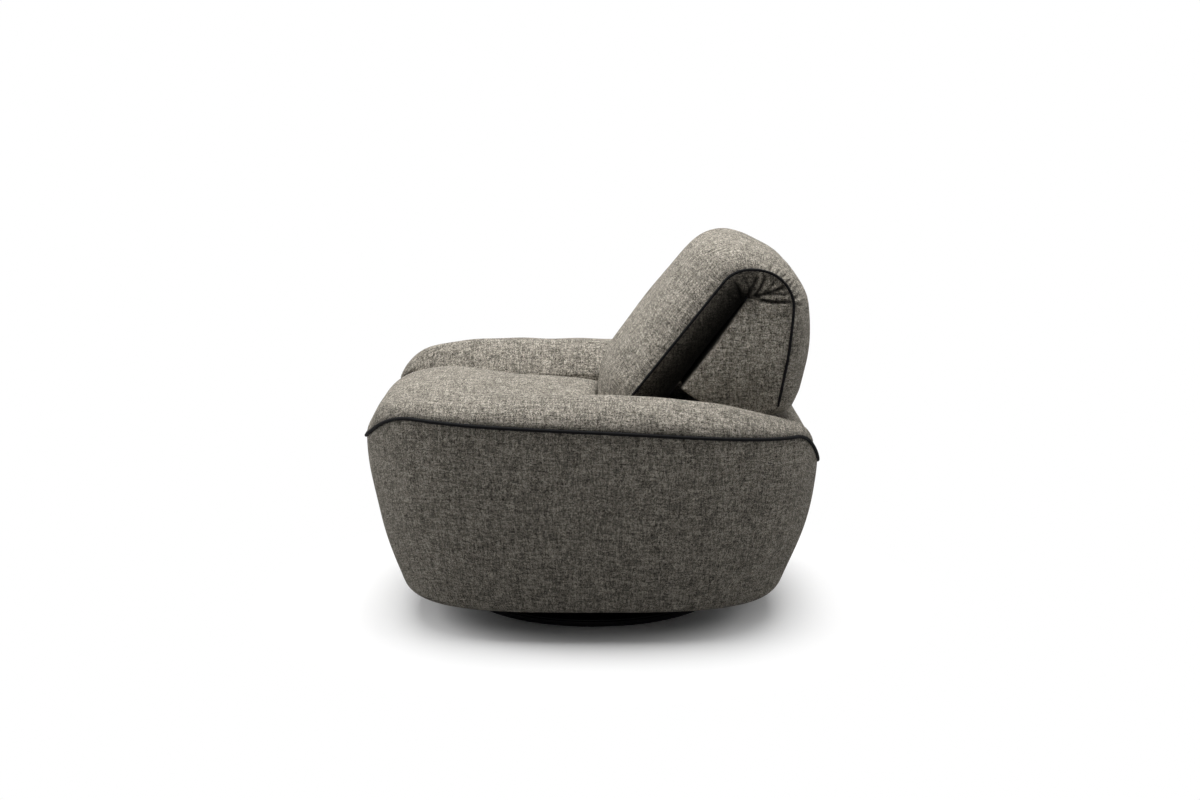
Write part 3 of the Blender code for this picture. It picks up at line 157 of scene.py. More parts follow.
def dark_finish(name, colour, roughness, coat):
    """Sprayed black finish with fine orange peel and duller patches where feet have rubbed it."""
    finish, tree, shader = start_finish(name, roughness)
    place = place_on(tree)
    rubbed = cloud(tree, place, RUB_GRAIN, RUB_DETAIL)
    paler = tuple(RUB_PALENESS * c for c in colour)
    tint(tree, shader, rubbed, ((RUB_START, colour), (RUB_END, paler)))
    roughen(tree, shader, rubbed, roughness - RUB_POLISH, roughness + RUB_DULLNESS)
    raise_grain(tree, shader, cloud(tree, place, SPRAY_GRAIN), SPRAY_DEPTH)
    shader.inputs["Coat Weight"].default_value = coat
    shader.inputs["Coat Roughness"].default_value = COAT_ROUGHNESS
    shader.inputs["Specular IOR Level"].default_value = SPRAY_SHINE
    return finish


def put_in_scene(name, mesh, finish):
    """Object at the origin with its shape in its mesh, faces out and shaded smooth."""
    shell = bmesh.new()
    shell.from_mesh(mesh)
    bmesh.ops.recalc_face_normals(shell, faces=shell.faces)
    shell.to_mesh(mesh)
    shell.free()
    mesh.shade_smooth()
    piece = bpy.data.objects.new(name, mesh)
    bpy.context.scene.collection.objects.link(piece)
    mesh.materials.append(finish)
    return piece


def broken_corners(profile, edge):
    """Closed outline of radius and height with each corner off the axis rounded by an edge radius."""
    outline = []
    for k, corner in enumerate(profile):
        corner = Vector(corner)
        if corner.x == 0:
            outline.append(corner)
            continue
        before = Vector(profile[k - 1]) - corner
        after = Vector(profile[(k + 1) % len(profile)]) - corner
        start = corner + before.normalized() * min(edge, before.length / 2)
        end = corner + after.normalized() * min(edge, after.length / 2)
        for n in range(CORNER_STEPS + 1):
            t = n / CORNER_STEPS
            outline.append(start * (1 - t) ** 2 + corner * 2 * t * (1 - t) + end * t ** 2)
    return outline


def turn_piece(name, profile, edge, finish, count):
    """Outline of radius and height spun about Z."""
    outline = broken_corners(profile, edge)
    shape = bmesh.new()
    rows = []
    for point in outline:
        if point.x == 0:
            rows.append([shape.verts.new((0, 0, point.y))] * count)
        else:
            turns = [math.tau * k / count for k in range(count)]
            spots = [(point.x * math.cos(t), point.x * math.sin(t), point.y) for t in turns]
            rows.append([shape.verts.new(spot) for spot in spots])
    for upper, lower in zip(rows, rows[1:] + rows[:1]):
        for k in range(count):
            corners = dict.fromkeys((upper[k - 1], upper[k], lower[k], lower[k - 1]))
            if len(corners) > 2:
                shape.faces.new(corners)
    mesh = bpy.data.meshes.new(name)
    shape.to_mesh(mesh)
    shape.free()
    piece = put_in_scene(name, mesh, finish)
    mesh.set_sharp_from_angle(angle=math.radians(SHARP_ANGLE))
    return piece


lacquer = dark_finish("lacquer", LACQUER_COLOUR, LACQUER_ROUGHNESS, LACQUER_COAT)
disc_low, disc_high = (corner.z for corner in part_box("base_disc"))
step_radius = DISC_RADIUS - DISC_STEP_SETBACK
disc_profile = [(0, disc_low), (DISC_RADIUS, disc_low), (DISC_RADIUS, disc_high - DISC_STEP),
                (step_radius, disc_high - DISC_STEP), (step_radius, disc_high), (0, disc_high)]
base_plate = turn_piece("base_plate", disc_profile, DISC_EDGE, lacquer, DISC_COUNT)
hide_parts("base_disc")
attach(base_plate, "base")


# Felt under the base
# A disc of pressed wool felt, glued under the steel so that it turns on any floor without a mark.
# It is punched out in one piece, so its edge is cut square and a little fluffy.

FELT_RADIUS = 0.260
FELT_EDGE = 0.0005
FELT_COLOUR = (0.030, 0.030, 0.032)
FELT_PALE = (0.075, 0.074, 0.074)
FELT_STOPS = ((0.35, FELT_COLOUR), (0.70, FELT_PALE))
FELT_ROUGHNESS = 0.96
FELT_SHEEN = 0.25
FELT_HAIR = 1400.0
FELT_HAIR_DETAIL = 6.0
FELT_HAIR_DEPTH = 0.0006


def felt_finish(name):
    """Matted fibres: a hairy bump and a dusty sheen."""
    finish, tree, shader = start_finish(name, FELT_ROUGHNESS)
    place = place_on(tree)
    hairs = cloud(tree, place, FELT_HAIR, FELT_HAIR_DETAIL)
    tint(tree, shader, hairs, FELT_STOPS)
    raise_grain(tree, shader, hairs, FELT_HAIR_DEPTH)
    shader.inputs["Sheen Weight"].default_value = FELT_SHEEN
    return finish


felt = felt_finish("felt")
felt_low, felt_high = (corner.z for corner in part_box("floor_felt"))
felt_profile = [(0, felt_low), (FELT_RADIUS, felt_low), (FELT_RADIUS, felt_high), (0, felt_high)]
felt_disc = turn_piece("felt_disc", felt_profile, FELT_EDGE, felt, DISC_COUNT)
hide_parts("floor_felt")
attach(felt_disc, "base")


# Riser and turning bearing
# The riser is a round of black-stained board. The bearing on it is two pressed zinc-plated plates
# with raised tracks, a cage of balls between them, and a headed pin that keeps them together.

STAIN_COLOUR = (0.010, 0.0095, 0.0095)
STAIN_ROUGHNESS = 0.58
ZINC_COLOUR = (0.46, 0.47, 0.49)
ZINC_DULL = (0.27, 0.28, 0.30)
ZINC_ROUGHNESS = 0.34
ZINC_FLAKE = 140.0
METAL_DETAIL = 5.0
METAL_DULL_AT = 0.30
METAL_BRIGHT_AT = 0.62
METAL_DULLNESS = 0.16
METAL_POLISH = 0.08
METAL_GRAIN_SHARE = 8
METAL_GRAIN_DEPTH = 0.00005


def metal_finish(name, bright, dull, roughness, grain):
    """Bare or plated metal, clouded where it has oxidised."""
    finish, tree, shader = start_finish(name, roughness, 1.0)
    place = place_on(tree)
    spangle = cloud(tree, place, grain, METAL_DETAIL)
    tint(tree, shader, spangle, ((METAL_DULL_AT, dull), (METAL_BRIGHT_AT, bright)))
    roughen(tree, shader, spangle, roughness + METAL_DULLNESS, roughness - METAL_POLISH)
    raise_grain(tree, shader, cloud(tree, place, METAL_GRAIN_SHARE * grain), METAL_GRAIN_DEPTH)
    return finish


def refinish(finish, *names):
    """Gives CAD nodes that stay as they are their real finish."""
    for name in names:
        for material_slot in nodes[name].material_slots:
            material_slot.material = finish


zinc = metal_finish("zinc", ZINC_COLOUR, ZINC_DULL, ZINC_ROUGHNESS, ZINC_FLAKE)
refinish(dark_finish("black_stain", STAIN_COLOUR, STAIN_ROUGHNESS, 0), "base_riser")
refinish(zinc, "swivel_lower_plate", "swivel_upper_plate", "ball_cage", "swivel_kingpin")


# Wooden frame of the tub
# Birch plywood and beech rails, sawn and left unfinished inside the covers: a floor board, side
# panels, ribs and boards for the arms, rails under the seat, and the posts and board of the back.

WOOD_PALE = (0.600, 0.440, 0.270)
WOOD_MIDDLE = (0.500, 0.345, 0.195)
WOOD_DARK = (0.330, 0.205, 0.105)
WOOD_STOPS = ((0.30, WOOD_DARK), (0.48, WOOD_MIDDLE), (0.70, WOOD_PALE))
WOOD_ROUGHNESS = 0.62
WOOD_DULLEST = 0.75
WOOD_SMOOTHEST = 0.50
WOOD_STRETCH = (9.0, 9.0, 60.0)
WOOD_FIGURE = 2.4
WOOD_DETAIL = 9.0
WOOD_DEPTH = 0.0005
PLY_LAYER = 700.0
PLY_STRETCH = (1, 1, 6)
PLY_DETAIL = 1.0
PLY_DEPTH = 0.0002


def wood_finish(name):
    """Plywood: long figure along the face, with the thin dark glue lines of its layers."""
    finish, tree, shader = start_finish(name, WOOD_ROUGHNESS)
    place = place_on(tree, stretch=WOOD_STRETCH)
    figure = cloud(tree, place, WOOD_FIGURE, WOOD_DETAIL)
    tint(tree, shader, figure, WOOD_STOPS)
    roughen(tree, shader, figure, WOOD_DULLEST, WOOD_SMOOTHEST)
    plies = cloud(tree, place_on(tree, stretch=PLY_STRETCH), PLY_LAYER, PLY_DETAIL)
    layers = raise_grain(tree, shader, plies, PLY_DEPTH)
    raise_grain(tree, shader, figure, WOOD_DEPTH, layers)
    return finish


wood = wood_finish("birch")
for name in nodes:
    if name.startswith(("side_panel", "arm_rib", "arm_board", "back_post")):
        refinish(wood, name)
refinish(wood, "bottom_board", "front_rail", "seat_nose_board", "seat_rear_rail", "tub_rear_rail",
         "rear_shelf", "back_board", "headrest_board")


# Seat springs and their clips
# Five rows of sinuous wire, bent from oiled spring steel and clipped over the rails, arched a
# little so that the seat gives.

SPRING_COLOUR = (0.16, 0.16, 0.17)
SPRING_OXIDE = (0.055, 0.052, 0.055)
SPRING_ROUGHNESS = 0.42
SPRING_GRAIN = 60.0

spring_steel = metal_finish("spring_steel", SPRING_COLOUR, SPRING_OXIDE, SPRING_ROUGHNESS, SPRING_GRAIN)
spring_names = [name for name in nodes if "seat_spring" in name]
refinish(spring_steel, "spring_clip_front", "spring_clip_rear", *spring_names)


# Felt over the springs
# A needled felt laid over the springs so that the foam can't be cut by them. It is cut oblong and
# stapled to the rails, and it takes the arch of the springs a little.

DECK_DIP = 0.0008
DECK_PITCH = 0.080
DECK_ROWS = 60
DECK_COLUMNS = 80


def cloth_skin(name, rows, finish, ring=True, loop=False, centre=0, flat=()):
    """Skin over rows of points, with a UV map in real lengths so that the weave keeps its size.

    Ring closes each row and loop joins the last row to the first. Open ends of rings are closed by
    strips from one side to the other. Lengths are taken along the centre column and widths from it,
    and the weave lies straight in YZ over the strips of the flat columns.
    """
    points = np.array(rows, float)
    count, size = points.shape[:2]
    if ring:
        points = np.concatenate([points, points[:, :1]], axis=1)
    if loop:
        points = np.concatenate([points, points[:1]], axis=0)
    across = np.zeros(points.shape[:2])
    across[:, 1:] = np.cumsum(np.linalg.norm(np.diff(points, axis=1), axis=2), axis=1)
    along = np.zeros(points.shape[:2])
    along[1:] = np.cumsum(np.linalg.norm(np.diff(points, axis=0), axis=2), axis=0)
    across -= across[:, centre:centre + 1]
    along[:] = along[:, centre:centre + 1]
    faces, lengths = [], []
    for row in range(points.shape[0] - 1):
        for column in range(points.shape[1] - 1):
            corners = ((row, column), (row, column + 1), (row + 1, column + 1), (row + 1, column))
            faces.append([r % count * size + c % size for r, c in corners])
            for corner in corners:
                lengths.append(points[corner][1:] if column in flat else (across[corner], along[corner]))
    if ring and not loop:
        for row in (0, count - 1):
            for column in range((size - 1) // 2):
                strip = dict.fromkeys((column, column + 1, size - 2 - column, size - 1 - column))
                faces.append([row * size + c for c in strip])
                lengths += [(across[row, c], along[row, c]) for c in strip]
    mesh = bpy.data.meshes.new(name)
    mesh.from_pydata(np.array(rows, float).reshape(-1, 3).tolist(), [], faces)
    weave_map = mesh.uv_layers.new(name="weave")
    weave_map.uv.foreach_set("vector", np.array(lengths, np.float32).ravel())
    return put_in_scene(name, mesh, finish)


deck_low, deck_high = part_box("seat_deck_felt")
deck_rows = []
for y in np.linspace(deck_low.y, deck_high.y, DECK_ROWS):
    face = []
    for x in np.linspace(deck_low.x, deck_high.x, DECK_COLUMNS):
        dip = DECK_DIP * (1 - math.cos(math.tau * x / DECK_PITCH)) / 2
        face.append((x, y, deck_high.z - dip))
    back = [(x, y, deck_low.z) for x, y, z in reversed(face)]
    deck_rows.append(face + back)
deck_felt = cloth_skin("deck_felt", deck_rows, felt)
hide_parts("seat_deck_felt")
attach(deck_felt, "tub")


# Dust cloth under the tub
# Black non-woven cloth that keeps dust out of the springs, cut with a round hole for the bearing
# and held by a row of wire staples near its edge.

PLAN_POWER = 3.4
CLOTH_HOLE_RADIUS = 0.158
CLOTH_SAG = 0.0035
CLOTH_SAG_CHANGE = 0.25
CLOTH_SAG_WAVES = 7
CLOTH_SAG_TWIST = 3
CLOTH_TURNS = 240
CLOTH_RINGS = 24
CLOTH_COLOUR = (0.018, 0.018, 0.020)
CLOTH_PALE = (0.034, 0.034, 0.037)
CLOTH_STOPS = ((0.20, CLOTH_PALE), (0.42, CLOTH_COLOUR))
CLOTH_ROUGHNESS = 0.92
CLOTH_DOTS = 450.0
CLOTH_DOT_CHANCE = 0.15
CLOTH_DOT_DEPTH = 0.0003
STAPLE_PITCH = 0.045
STAPLE_INSET = 0.010
STAPLE_LENGTH = 0.011
STAPLE_WIRE = 0.0006
STAPLE_PATH_POINTS = 400
WIRE_RISE = 1.6
WIRE_STEPS = 5
WIRE_FACETS = 6


def cambric_finish(name):
    """Spun-bonded cloth with its grid of small pressed dots."""
    finish, tree, shader = start_finish(name, CLOTH_ROUGHNESS)
    place = place_on(tree)
    dots = tree.nodes.new("ShaderNodeTexVoronoi")
    dots.inputs["Scale"].default_value = CLOTH_DOTS
    dots.inputs["Randomness"].default_value = CLOTH_DOT_CHANCE
    tree.links.new(place, dots.inputs["Vector"])
    tint(tree, shader, dots.outputs["Distance"], CLOTH_STOPS)
    raise_grain(tree, shader, dots.outputs["Distance"], CLOTH_DOT_DEPTH)
    return finish


def tree_input(tree, name, kind, value):
    """Named input of a Geometry Nodes tree, given back by its identifier."""
    socket = tree.interface.new_socket(name=name, in_out="INPUT", socket_type=kind)
    socket.default_value = value
    return socket.identifier


def rows_of_wire(name, finish, pitch, radius, length):
    """Tree that lays one short bent wire, such as a stitch or a staple, at each pitch along a path."""
    tree = bpy.data.node_groups.new(name, "GeometryNodeTree")
    tree.interface.new_socket(name="Path", in_out="INPUT", socket_type="NodeSocketGeometry")
    tree.interface.new_socket(name="Wires", in_out="OUTPUT", socket_type="NodeSocketGeometry")
    names = {label: tree_input(tree, label, "NodeSocketFloat", value)
             for label, value in (("Pitch", pitch), ("Wire radius", radius), ("Length", length))}
    add, link = tree.nodes.new, tree.links.new
    taken, given = add("NodeGroupInput"), add("NodeGroupOutput")
    to_curve, resample = add("GeometryNodeMeshToCurve"), add("GeometryNodeResampleCurve")
    resample.mode = "LENGTH"
    link(taken.outputs["Path"], to_curve.inputs["Mesh"])
    link(to_curve.outputs["Curve"], resample.inputs["Curve"])
    link(taken.outputs["Pitch"], resample.inputs["Length"])
    facing, tangent = add("FunctionNodeAxesToRotation"), add("GeometryNodeInputTangent")
    outward = add("GeometryNodeInputNamedAttribute")
    outward.data_type = "FLOAT_VECTOR"
    outward.inputs["Name"].default_value = "outward"
    facing.primary_axis, facing.secondary_axis = "X", "Z"
    link(tangent.outputs["Tangent"], facing.inputs["Primary Axis"])
    link(outward.outputs["Attribute"], facing.inputs["Secondary Axis"])
    arch, profile = add("GeometryNodeCurveQuadraticBezier"), add("GeometryNodeCurvePrimitiveCircle")
    wire = add("GeometryNodeCurveToMesh")
    arch.inputs["Resolution"].default_value = WIRE_STEPS
    profile.inputs["Resolution"].default_value = WIRE_FACETS
    link(taken.outputs["Wire radius"], profile.inputs["Radius"])
    half, rise = add("ShaderNodeMath"), add("ShaderNodeMath")
    half.operation = "MULTIPLY"
    rise.operation = "MULTIPLY"
    half.inputs[1].default_value, rise.inputs[1].default_value = 0.5, WIRE_RISE
    link(taken.outputs["Length"], half.inputs[0])
    link(taken.outputs["Wire radius"], rise.inputs[0])
    minus = add("ShaderNodeMath")
    minus.operation = "MULTIPLY"
    minus.inputs[1].default_value = -1
    link(half.outputs[0], minus.inputs[0])
    for socket, value in (("Start", minus), ("End", half)):
        end = add("ShaderNodeCombineXYZ")
        link(value.outputs[0], end.inputs["X"])
        link(end.outputs[0], arch.inputs[socket])
    middle = add("ShaderNodeCombineXYZ")
    link(rise.outputs[0], middle.inputs["Z"])
    link(middle.outputs[0], arch.inputs["Middle"])
    link(arch.outputs["Curve"], wire.inputs["Curve"])
    link(profile.outputs["Curve"], wire.inputs["Profile Curve"])
    wire.inputs["Fill Caps"].default_value = True
    lay, real = add("GeometryNodeInstanceOnPoints"), add("GeometryNodeRealizeInstances")
    dressed = add("GeometryNodeSetMaterial")
    link(resample.outputs["Curve"], lay.inputs["Points"])
    link(wire.outputs["Mesh"], lay.inputs["Instance"])
    link(facing.outputs["Rotation"], lay.inputs["Rotation"])
    link(lay.outputs["Instances"], real.inputs["Geometry"])
    link(real.outputs["Geometry"], dressed.inputs["Geometry"])
    dressed.inputs["Material"].default_value = finish
    link(dressed.outputs["Geometry"], given.inputs["Wires"])
    return tree, names


def lay_wires(name, path, outs, finish, pitch, radius, length):
    """Plain mesh of wires laid along a path whose outward direction is known at each point."""
    mesh = bpy.data.meshes.new(name)
    mesh.from_pydata([tuple(p) for p in path], [(k, k + 1) for k in range(len(path) - 1)], [])
    outward = mesh.attributes.new("outward", "FLOAT_VECTOR", "POINT")
    outward.data.foreach_set("vector", np.array(outs, np.float32).ravel())
    line = bpy.data.objects.new(f"{name}_line", mesh)
    bpy.context.scene.collection.objects.link(line)
    tree, names = rows_of_wire(name, finish, pitch, radius, length)
    modifier = line.modifiers.new("wires", "NODES")
    modifier.node_group = tree
    for label, value in (("Pitch", pitch), ("Wire radius", radius), ("Length", length)):
        modifier[names[label]] = value
    made = bpy.data.meshes.new_from_object(line.evaluated_get(bpy.context.evaluated_depsgraph_get()))
    bpy.data.objects.remove(line)
    wires = bpy.data.objects.new(name, made)
    made.name = name
    made.shade_smooth()
    bpy.context.scene.collection.objects.link(wires)
    return wires


def round_plan(turn, half_x, half_y):
    """Point on the tub's rounded oblong at a turn from +X."""
    across, along = math.cos(turn), math.sin(turn)
    return (half_x * math.copysign(abs(across) ** (2 / PLAN_POWER), across),
            half_y * math.copysign(abs(along) ** (2 / PLAN_POWER), along))


dust_low, dust_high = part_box("dust_cover")
half_dust = Vector((dust_high.x, dust_high.y))
dust_rows = []
for k in range(CLOTH_TURNS):
    turn = math.tau * k / CLOTH_TURNS
    edge = Vector(round_plan(turn, *half_dust))
    hole = edge.normalized() * CLOTH_HOLE_RADIUS
    face = []
    for n in range(CLOTH_RINGS + 1):
        share = n / CLOTH_RINGS
        spot = hole.lerp(edge, share)
        change = CLOTH_SAG_CHANGE * math.sin(CLOTH_SAG_WAVES * turn + CLOTH_SAG_TWIST * share)
        sag = CLOTH_SAG * math.sin(math.pi * share) * (1 + change)
        face.append((spot.x, spot.y, dust_low.z - sag))
    dust_rows.append(face + [(x, y, z + dust_high.z - dust_low.z) for x, y, z in reversed(face)])
dust_cloth = cloth_skin("dust_cloth", dust_rows, cambric_finish("dust_cambric"), loop=True)
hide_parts("dust_cover")
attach(dust_cloth, "tub")
staple_path = []
for k in range(STAPLE_PATH_POINTS):
    turn = math.tau * k / STAPLE_PATH_POINTS
    x, y = round_plan(turn, half_dust.x - STAPLE_INSET, half_dust.y - STAPLE_INSET)
    staple_path.append((x, y, dust_low.z - STAPLE_WIRE))
staple_outs = [(0, 0, -1)] * STAPLE_PATH_POINTS
staples = lay_wires("dust_staples", staple_path, staple_outs, zinc, STAPLE_PITCH, STAPLE_WIRE, STAPLE_LENGTH)
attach(staples, "tub")


# Padded tub cover
# Tweed over foam, sewn from four panels with flush seams, pulled tight from the piped seam down
# to the hem, turned under and stapled. The panels lean in towards the base.

TUB_HALF_WIDTH = 0.460
TUB_HALF_DEPTH = 0.465
TUB_UNDERSIDE = 0.061
SIDE_TAPER = 0.080
END_TAPER = 0.073
TAPER_POWER = 1.7
HEM_RADIUS = 0.018
HEM_LIP = 0.045
HEM_THICKNESS = 0.008
COVER_THICKNESS = 0.024
SEAM_HEIGHT = 0.4406
SEAM_FALL = 0.0425
SEAM_REAR_SAG = 0.015
SEAM_FRONT_DROP = 0.0915
SEAM_FRONT_BEND_SHARE = 0.72
SEAM_REAR_DROP = 0.0934
SEAM_REAR_BEND_SHARE = 0.848
SEAM_BEND_POWER = 2.3
PANEL_CORNER = 38.0
PANEL_SEAM_WIDTH = 0.0013
PANEL_SEAM_DEPTH = 0.0007
PANEL_SEAM_STEPS = (-3, -1.2, 0, 1.2, 3)
COVER_TURNS = 320
COVER_CENTRE = 18
WALL_STEPS = 44
WALL_CROWDING = 1.15
HEM_STEPS = 8
LIP_STEPS = 4
LINING_STEPS = 6
TOP_EDGE_SHARES = (0.7, 0.35)
PULL_PITCH = 0.019
PULL_DEPTH = 0.0006
PULL_REACH = 0.022
PULL_WANDER = 2
PULL_WANDER_WAVE = 0.09
COVER_WAVE = 0.160
COVER_WAVE_HEIGHT = 0.0011
COVER_WAVE_FADE = 0.06
COVER_WAVE_SEED = 3
COVER_PULL_SEED = 4
PLUMP_FRAMES = 20
PLUMP_QUALITY = 4
PLUMP_MASS = 0.3
PLUMP_STIFFNESS = 0.4
TWEED_CREAM = (0.640, 0.590, 0.505)
TWEED_BEIGE = (0.330, 0.298, 0.248)
TWEED_GREY = (0.205, 0.192, 0.172)
TWEED_OLIVE = (0.118, 0.108, 0.084)
TWEED_DARK = (0.022, 0.019, 0.016)
TWEED_STOPS = ((0.06, TWEED_DARK), (0.28, TWEED_OLIVE), (0.50, TWEED_GREY), (0.72, TWEED_BEIGE),
               (0.95, TWEED_CREAM))
TWEED_ROUGHNESS = 0.95
TWEED_SHINE = 0.10
TWEED_SHEEN = 0.10
TWEED_SHEEN_ROUGHNESS = 0.45
TWEED_SHEEN_COLOUR = (0.95, 0.90, 0.80, 1)
YARN_PITCH = 0.0016
YARN_DEPTH = 0.0006
YARN_DRIFT = 2.2
YARN_DRIFT_RATE = 0.12
YARN_DRIFT_DETAIL = 3.0
# Painted shade between the yarns: these stops and this share darken the colour in the gaps of the weave
GAP_STOPS = ((0.0, 0.42), (0.55, 1.0))
GAP_SHARE = 0.75
FLECK_LENGTH = 0.0030
FLECK_SHARE = 0.80
SLUB_WIDTH = 0.0024
SLUB_LENGTH = 0.0170
SLUB_SHARE = 0.26
CLUMP_SIZE = 0.0170
CLUMP_DETAIL = 3.0
CLUMP_DARKNESS = 0.24
FUZZ_GRAIN = 900.0
FUZZ_DETAIL = 5.0
FUZZ_DEPTH = 0.0004


def arithmetic(tree, operation, first, second):
    """Math node on sockets or numbers."""
    node = tree.nodes.new("ShaderNodeMath")
    node.operation = operation
    for socket, value in zip(node.inputs, (first, second)):
        if isinstance(value, (int, float)):
            socket.default_value = value
        else:
            tree.links.new(value, socket)
    return node.outputs[0]


def yarn_rounds(tree, place, axis):
    """Height of round yarns that lie side by side across one direction of the weave."""
    parts = tree.nodes.new("ShaderNodeSeparateXYZ")
    tree.links.new(place, parts.inputs[0])
    turn = arithmetic(tree, "MULTIPLY", parts.outputs[axis], math.pi / YARN_PITCH)
    return arithmetic(tree, "ABSOLUTE", arithmetic(tree, "SINE", turn, 0), 0)


def times(tree, colour, value, share):
    """Colour darkened by a value, by a share of its full strength."""
    mix = tree.nodes.new("ShaderNodeMix")
    mix.data_type, mix.blend_type = "RGBA", "MULTIPLY"
    mix.inputs["Factor"].default_value = share
    tree.links.new(colour, mix.inputs["A"])
    tree.links.new(value, mix.inputs["B"])
    return mix.outputs["Result"]


def yarn_shades(tree, place, stretch):
    """Random shade for each length of yarn, the lengths lying along one direction of the weave."""
    mapping = tree.nodes.new("ShaderNodeMapping")
    mapping.inputs["Scale"].default_value = stretch
    tree.links.new(place, mapping.inputs["Vector"])
    cells = tree.nodes.new("ShaderNodeTexVoronoi")
    cells.inputs["Scale"].default_value = 1
    tree.links.new(mapping.outputs["Vector"], cells.inputs["Vector"])
    shades = tree.nodes.new("ShaderNodeSeparateColor")
    tree.links.new(cells.outputs["Color"], shades.inputs[0])
    return shades.outputs[0]


def tweed_finish(name, shaded=False):
    """Woollen tweed: plain weave of thick yarn, each length of it spun from mixed light and dark wool.

    Where it is shaded, the piece's shade attribute scales it: painted shade below 1, painted light above 1.
    """
    finish, tree, shader = start_finish(name, TWEED_ROUGHNESS)
    lay = place_on(tree, "UV")
    drift = tree.nodes.new("ShaderNodeVectorMath")
    drift.operation = "MULTIPLY_ADD"
    tree.links.new(cloud(tree, lay, YARN_DRIFT_RATE / YARN_PITCH, YARN_DRIFT_DETAIL), drift.inputs[0])
    drift.inputs[1].default_value = (YARN_DRIFT * YARN_PITCH, YARN_DRIFT * YARN_PITCH, 0)
    tree.links.new(lay, drift.inputs[2])
    woven = drift.outputs[0]
    checks = tree.nodes.new("ShaderNodeTexChecker")
    checks.inputs["Scale"].default_value = 1 / YARN_PITCH
    tree.links.new(woven, checks.inputs["Vector"])
    over = checks.outputs["Fac"]
    under = arithmetic(tree, "SUBTRACT", 1, over)
    weave = arithmetic(tree, "ADD", arithmetic(tree, "MULTIPLY", yarn_rounds(tree, woven, "X"), over),
                       arithmetic(tree, "MULTIPLY", yarn_rounds(tree, woven, "Y"), under))
    warp = yarn_shades(tree, woven, (1 / YARN_PITCH, 1 / FLECK_LENGTH, 1))
    weft = yarn_shades(tree, woven, (1 / FLECK_LENGTH, 1 / YARN_PITCH, 1))
    flecks = arithmetic(tree, "ADD", arithmetic(tree, "MULTIPLY", warp, over),
                        arithmetic(tree, "MULTIPLY", weft, under))
    slubs = arithmetic(tree, "ADD", yarn_shades(tree, woven, (1 / SLUB_WIDTH, 1 / SLUB_LENGTH, 1)),
                       yarn_shades(tree, woven, (1 / SLUB_LENGTH, 1 / SLUB_WIDTH, 1)))
    place = place_on(tree)
    clumps = spread_range(tree, cloud(tree, place, 1 / CLUMP_SIZE, CLUMP_DETAIL), -CLUMP_DARKNESS, 0)
    yarns = arithmetic(tree, "ADD", arithmetic(tree, "MULTIPLY", flecks, FLECK_SHARE),
                       arithmetic(tree, "MULTIPLY", slubs, SLUB_SHARE))
    mixed = arithmetic(tree, "ADD", yarns, clumps)
    wool = shade_between(tree, mixed, TWEED_STOPS)
    # painted shade: the colour is darkened in the gaps between the yarns
    depth = shade_between(tree, weave, GAP_STOPS)
    colour = times(tree, wool, depth, GAP_SHARE)
    if shaded:
        # painted shade and light: the piece's shade attribute scales the colour
        painted_shade_attribute = tree.nodes.new("ShaderNodeAttribute")
        painted_shade_attribute.attribute_name = "shade"
        colour = times(tree, colour, painted_shade_attribute.outputs["Fac"], 1)
    tree.links.new(colour, shader.inputs["Base Color"])
    lower = raise_grain(tree, shader, weave, YARN_DEPTH)
    raise_grain(tree, shader, cloud(tree, place, FUZZ_GRAIN, FUZZ_DETAIL), FUZZ_DEPTH, lower)
    shader.inputs["Sheen Weight"].default_value = TWEED_SHEEN
    shader.inputs["Sheen Roughness"].default_value = TWEED_SHEEN_ROUGHNESS
    shader.inputs["Sheen Tint"].default_value = TWEED_SHEEN_COLOUR
    shader.inputs["Specular IOR Level"].default_value = TWEED_SHINE
    return finish


def seam_z(y):
    """Height of the piped seam: a fall to the rear, then a bend down round each end."""
    drop, start = SEAM_REAR_DROP, SEAM_REAR_BEND_SHARE
    if y < 0:
        drop, start = SEAM_FRONT_DROP, SEAM_FRONT_BEND_SHARE
    bend = max(0, abs(y) / TUB_HALF_DEPTH - start) / (1 - start)
    sag = SEAM_REAR_SAG * (max(0, y) / TUB_HALF_DEPTH) ** 2
    return SEAM_HEIGHT - SEAM_FALL * y / (2 * TUB_HALF_DEPTH) - sag - drop * bend ** SEAM_BEND_POWER


def cover_point(turn, z, extra):
    """Point on the cover at a turn and a height, at a depth inside its outer face."""
    seam = seam_z(round_plan(turn, TUB_HALF_WIDTH, TUB_HALF_DEPTH)[1])
    taper = min(1, max(0, (seam - z) / (seam - TUB_UNDERSIDE))) ** TAPER_POWER
    half_x = TUB_HALF_WIDTH - SIDE_TAPER * taper - extra
    half_y = TUB_HALF_DEPTH - END_TAPER * taper - extra
    return (*round_plan(turn, half_x, half_y), z)


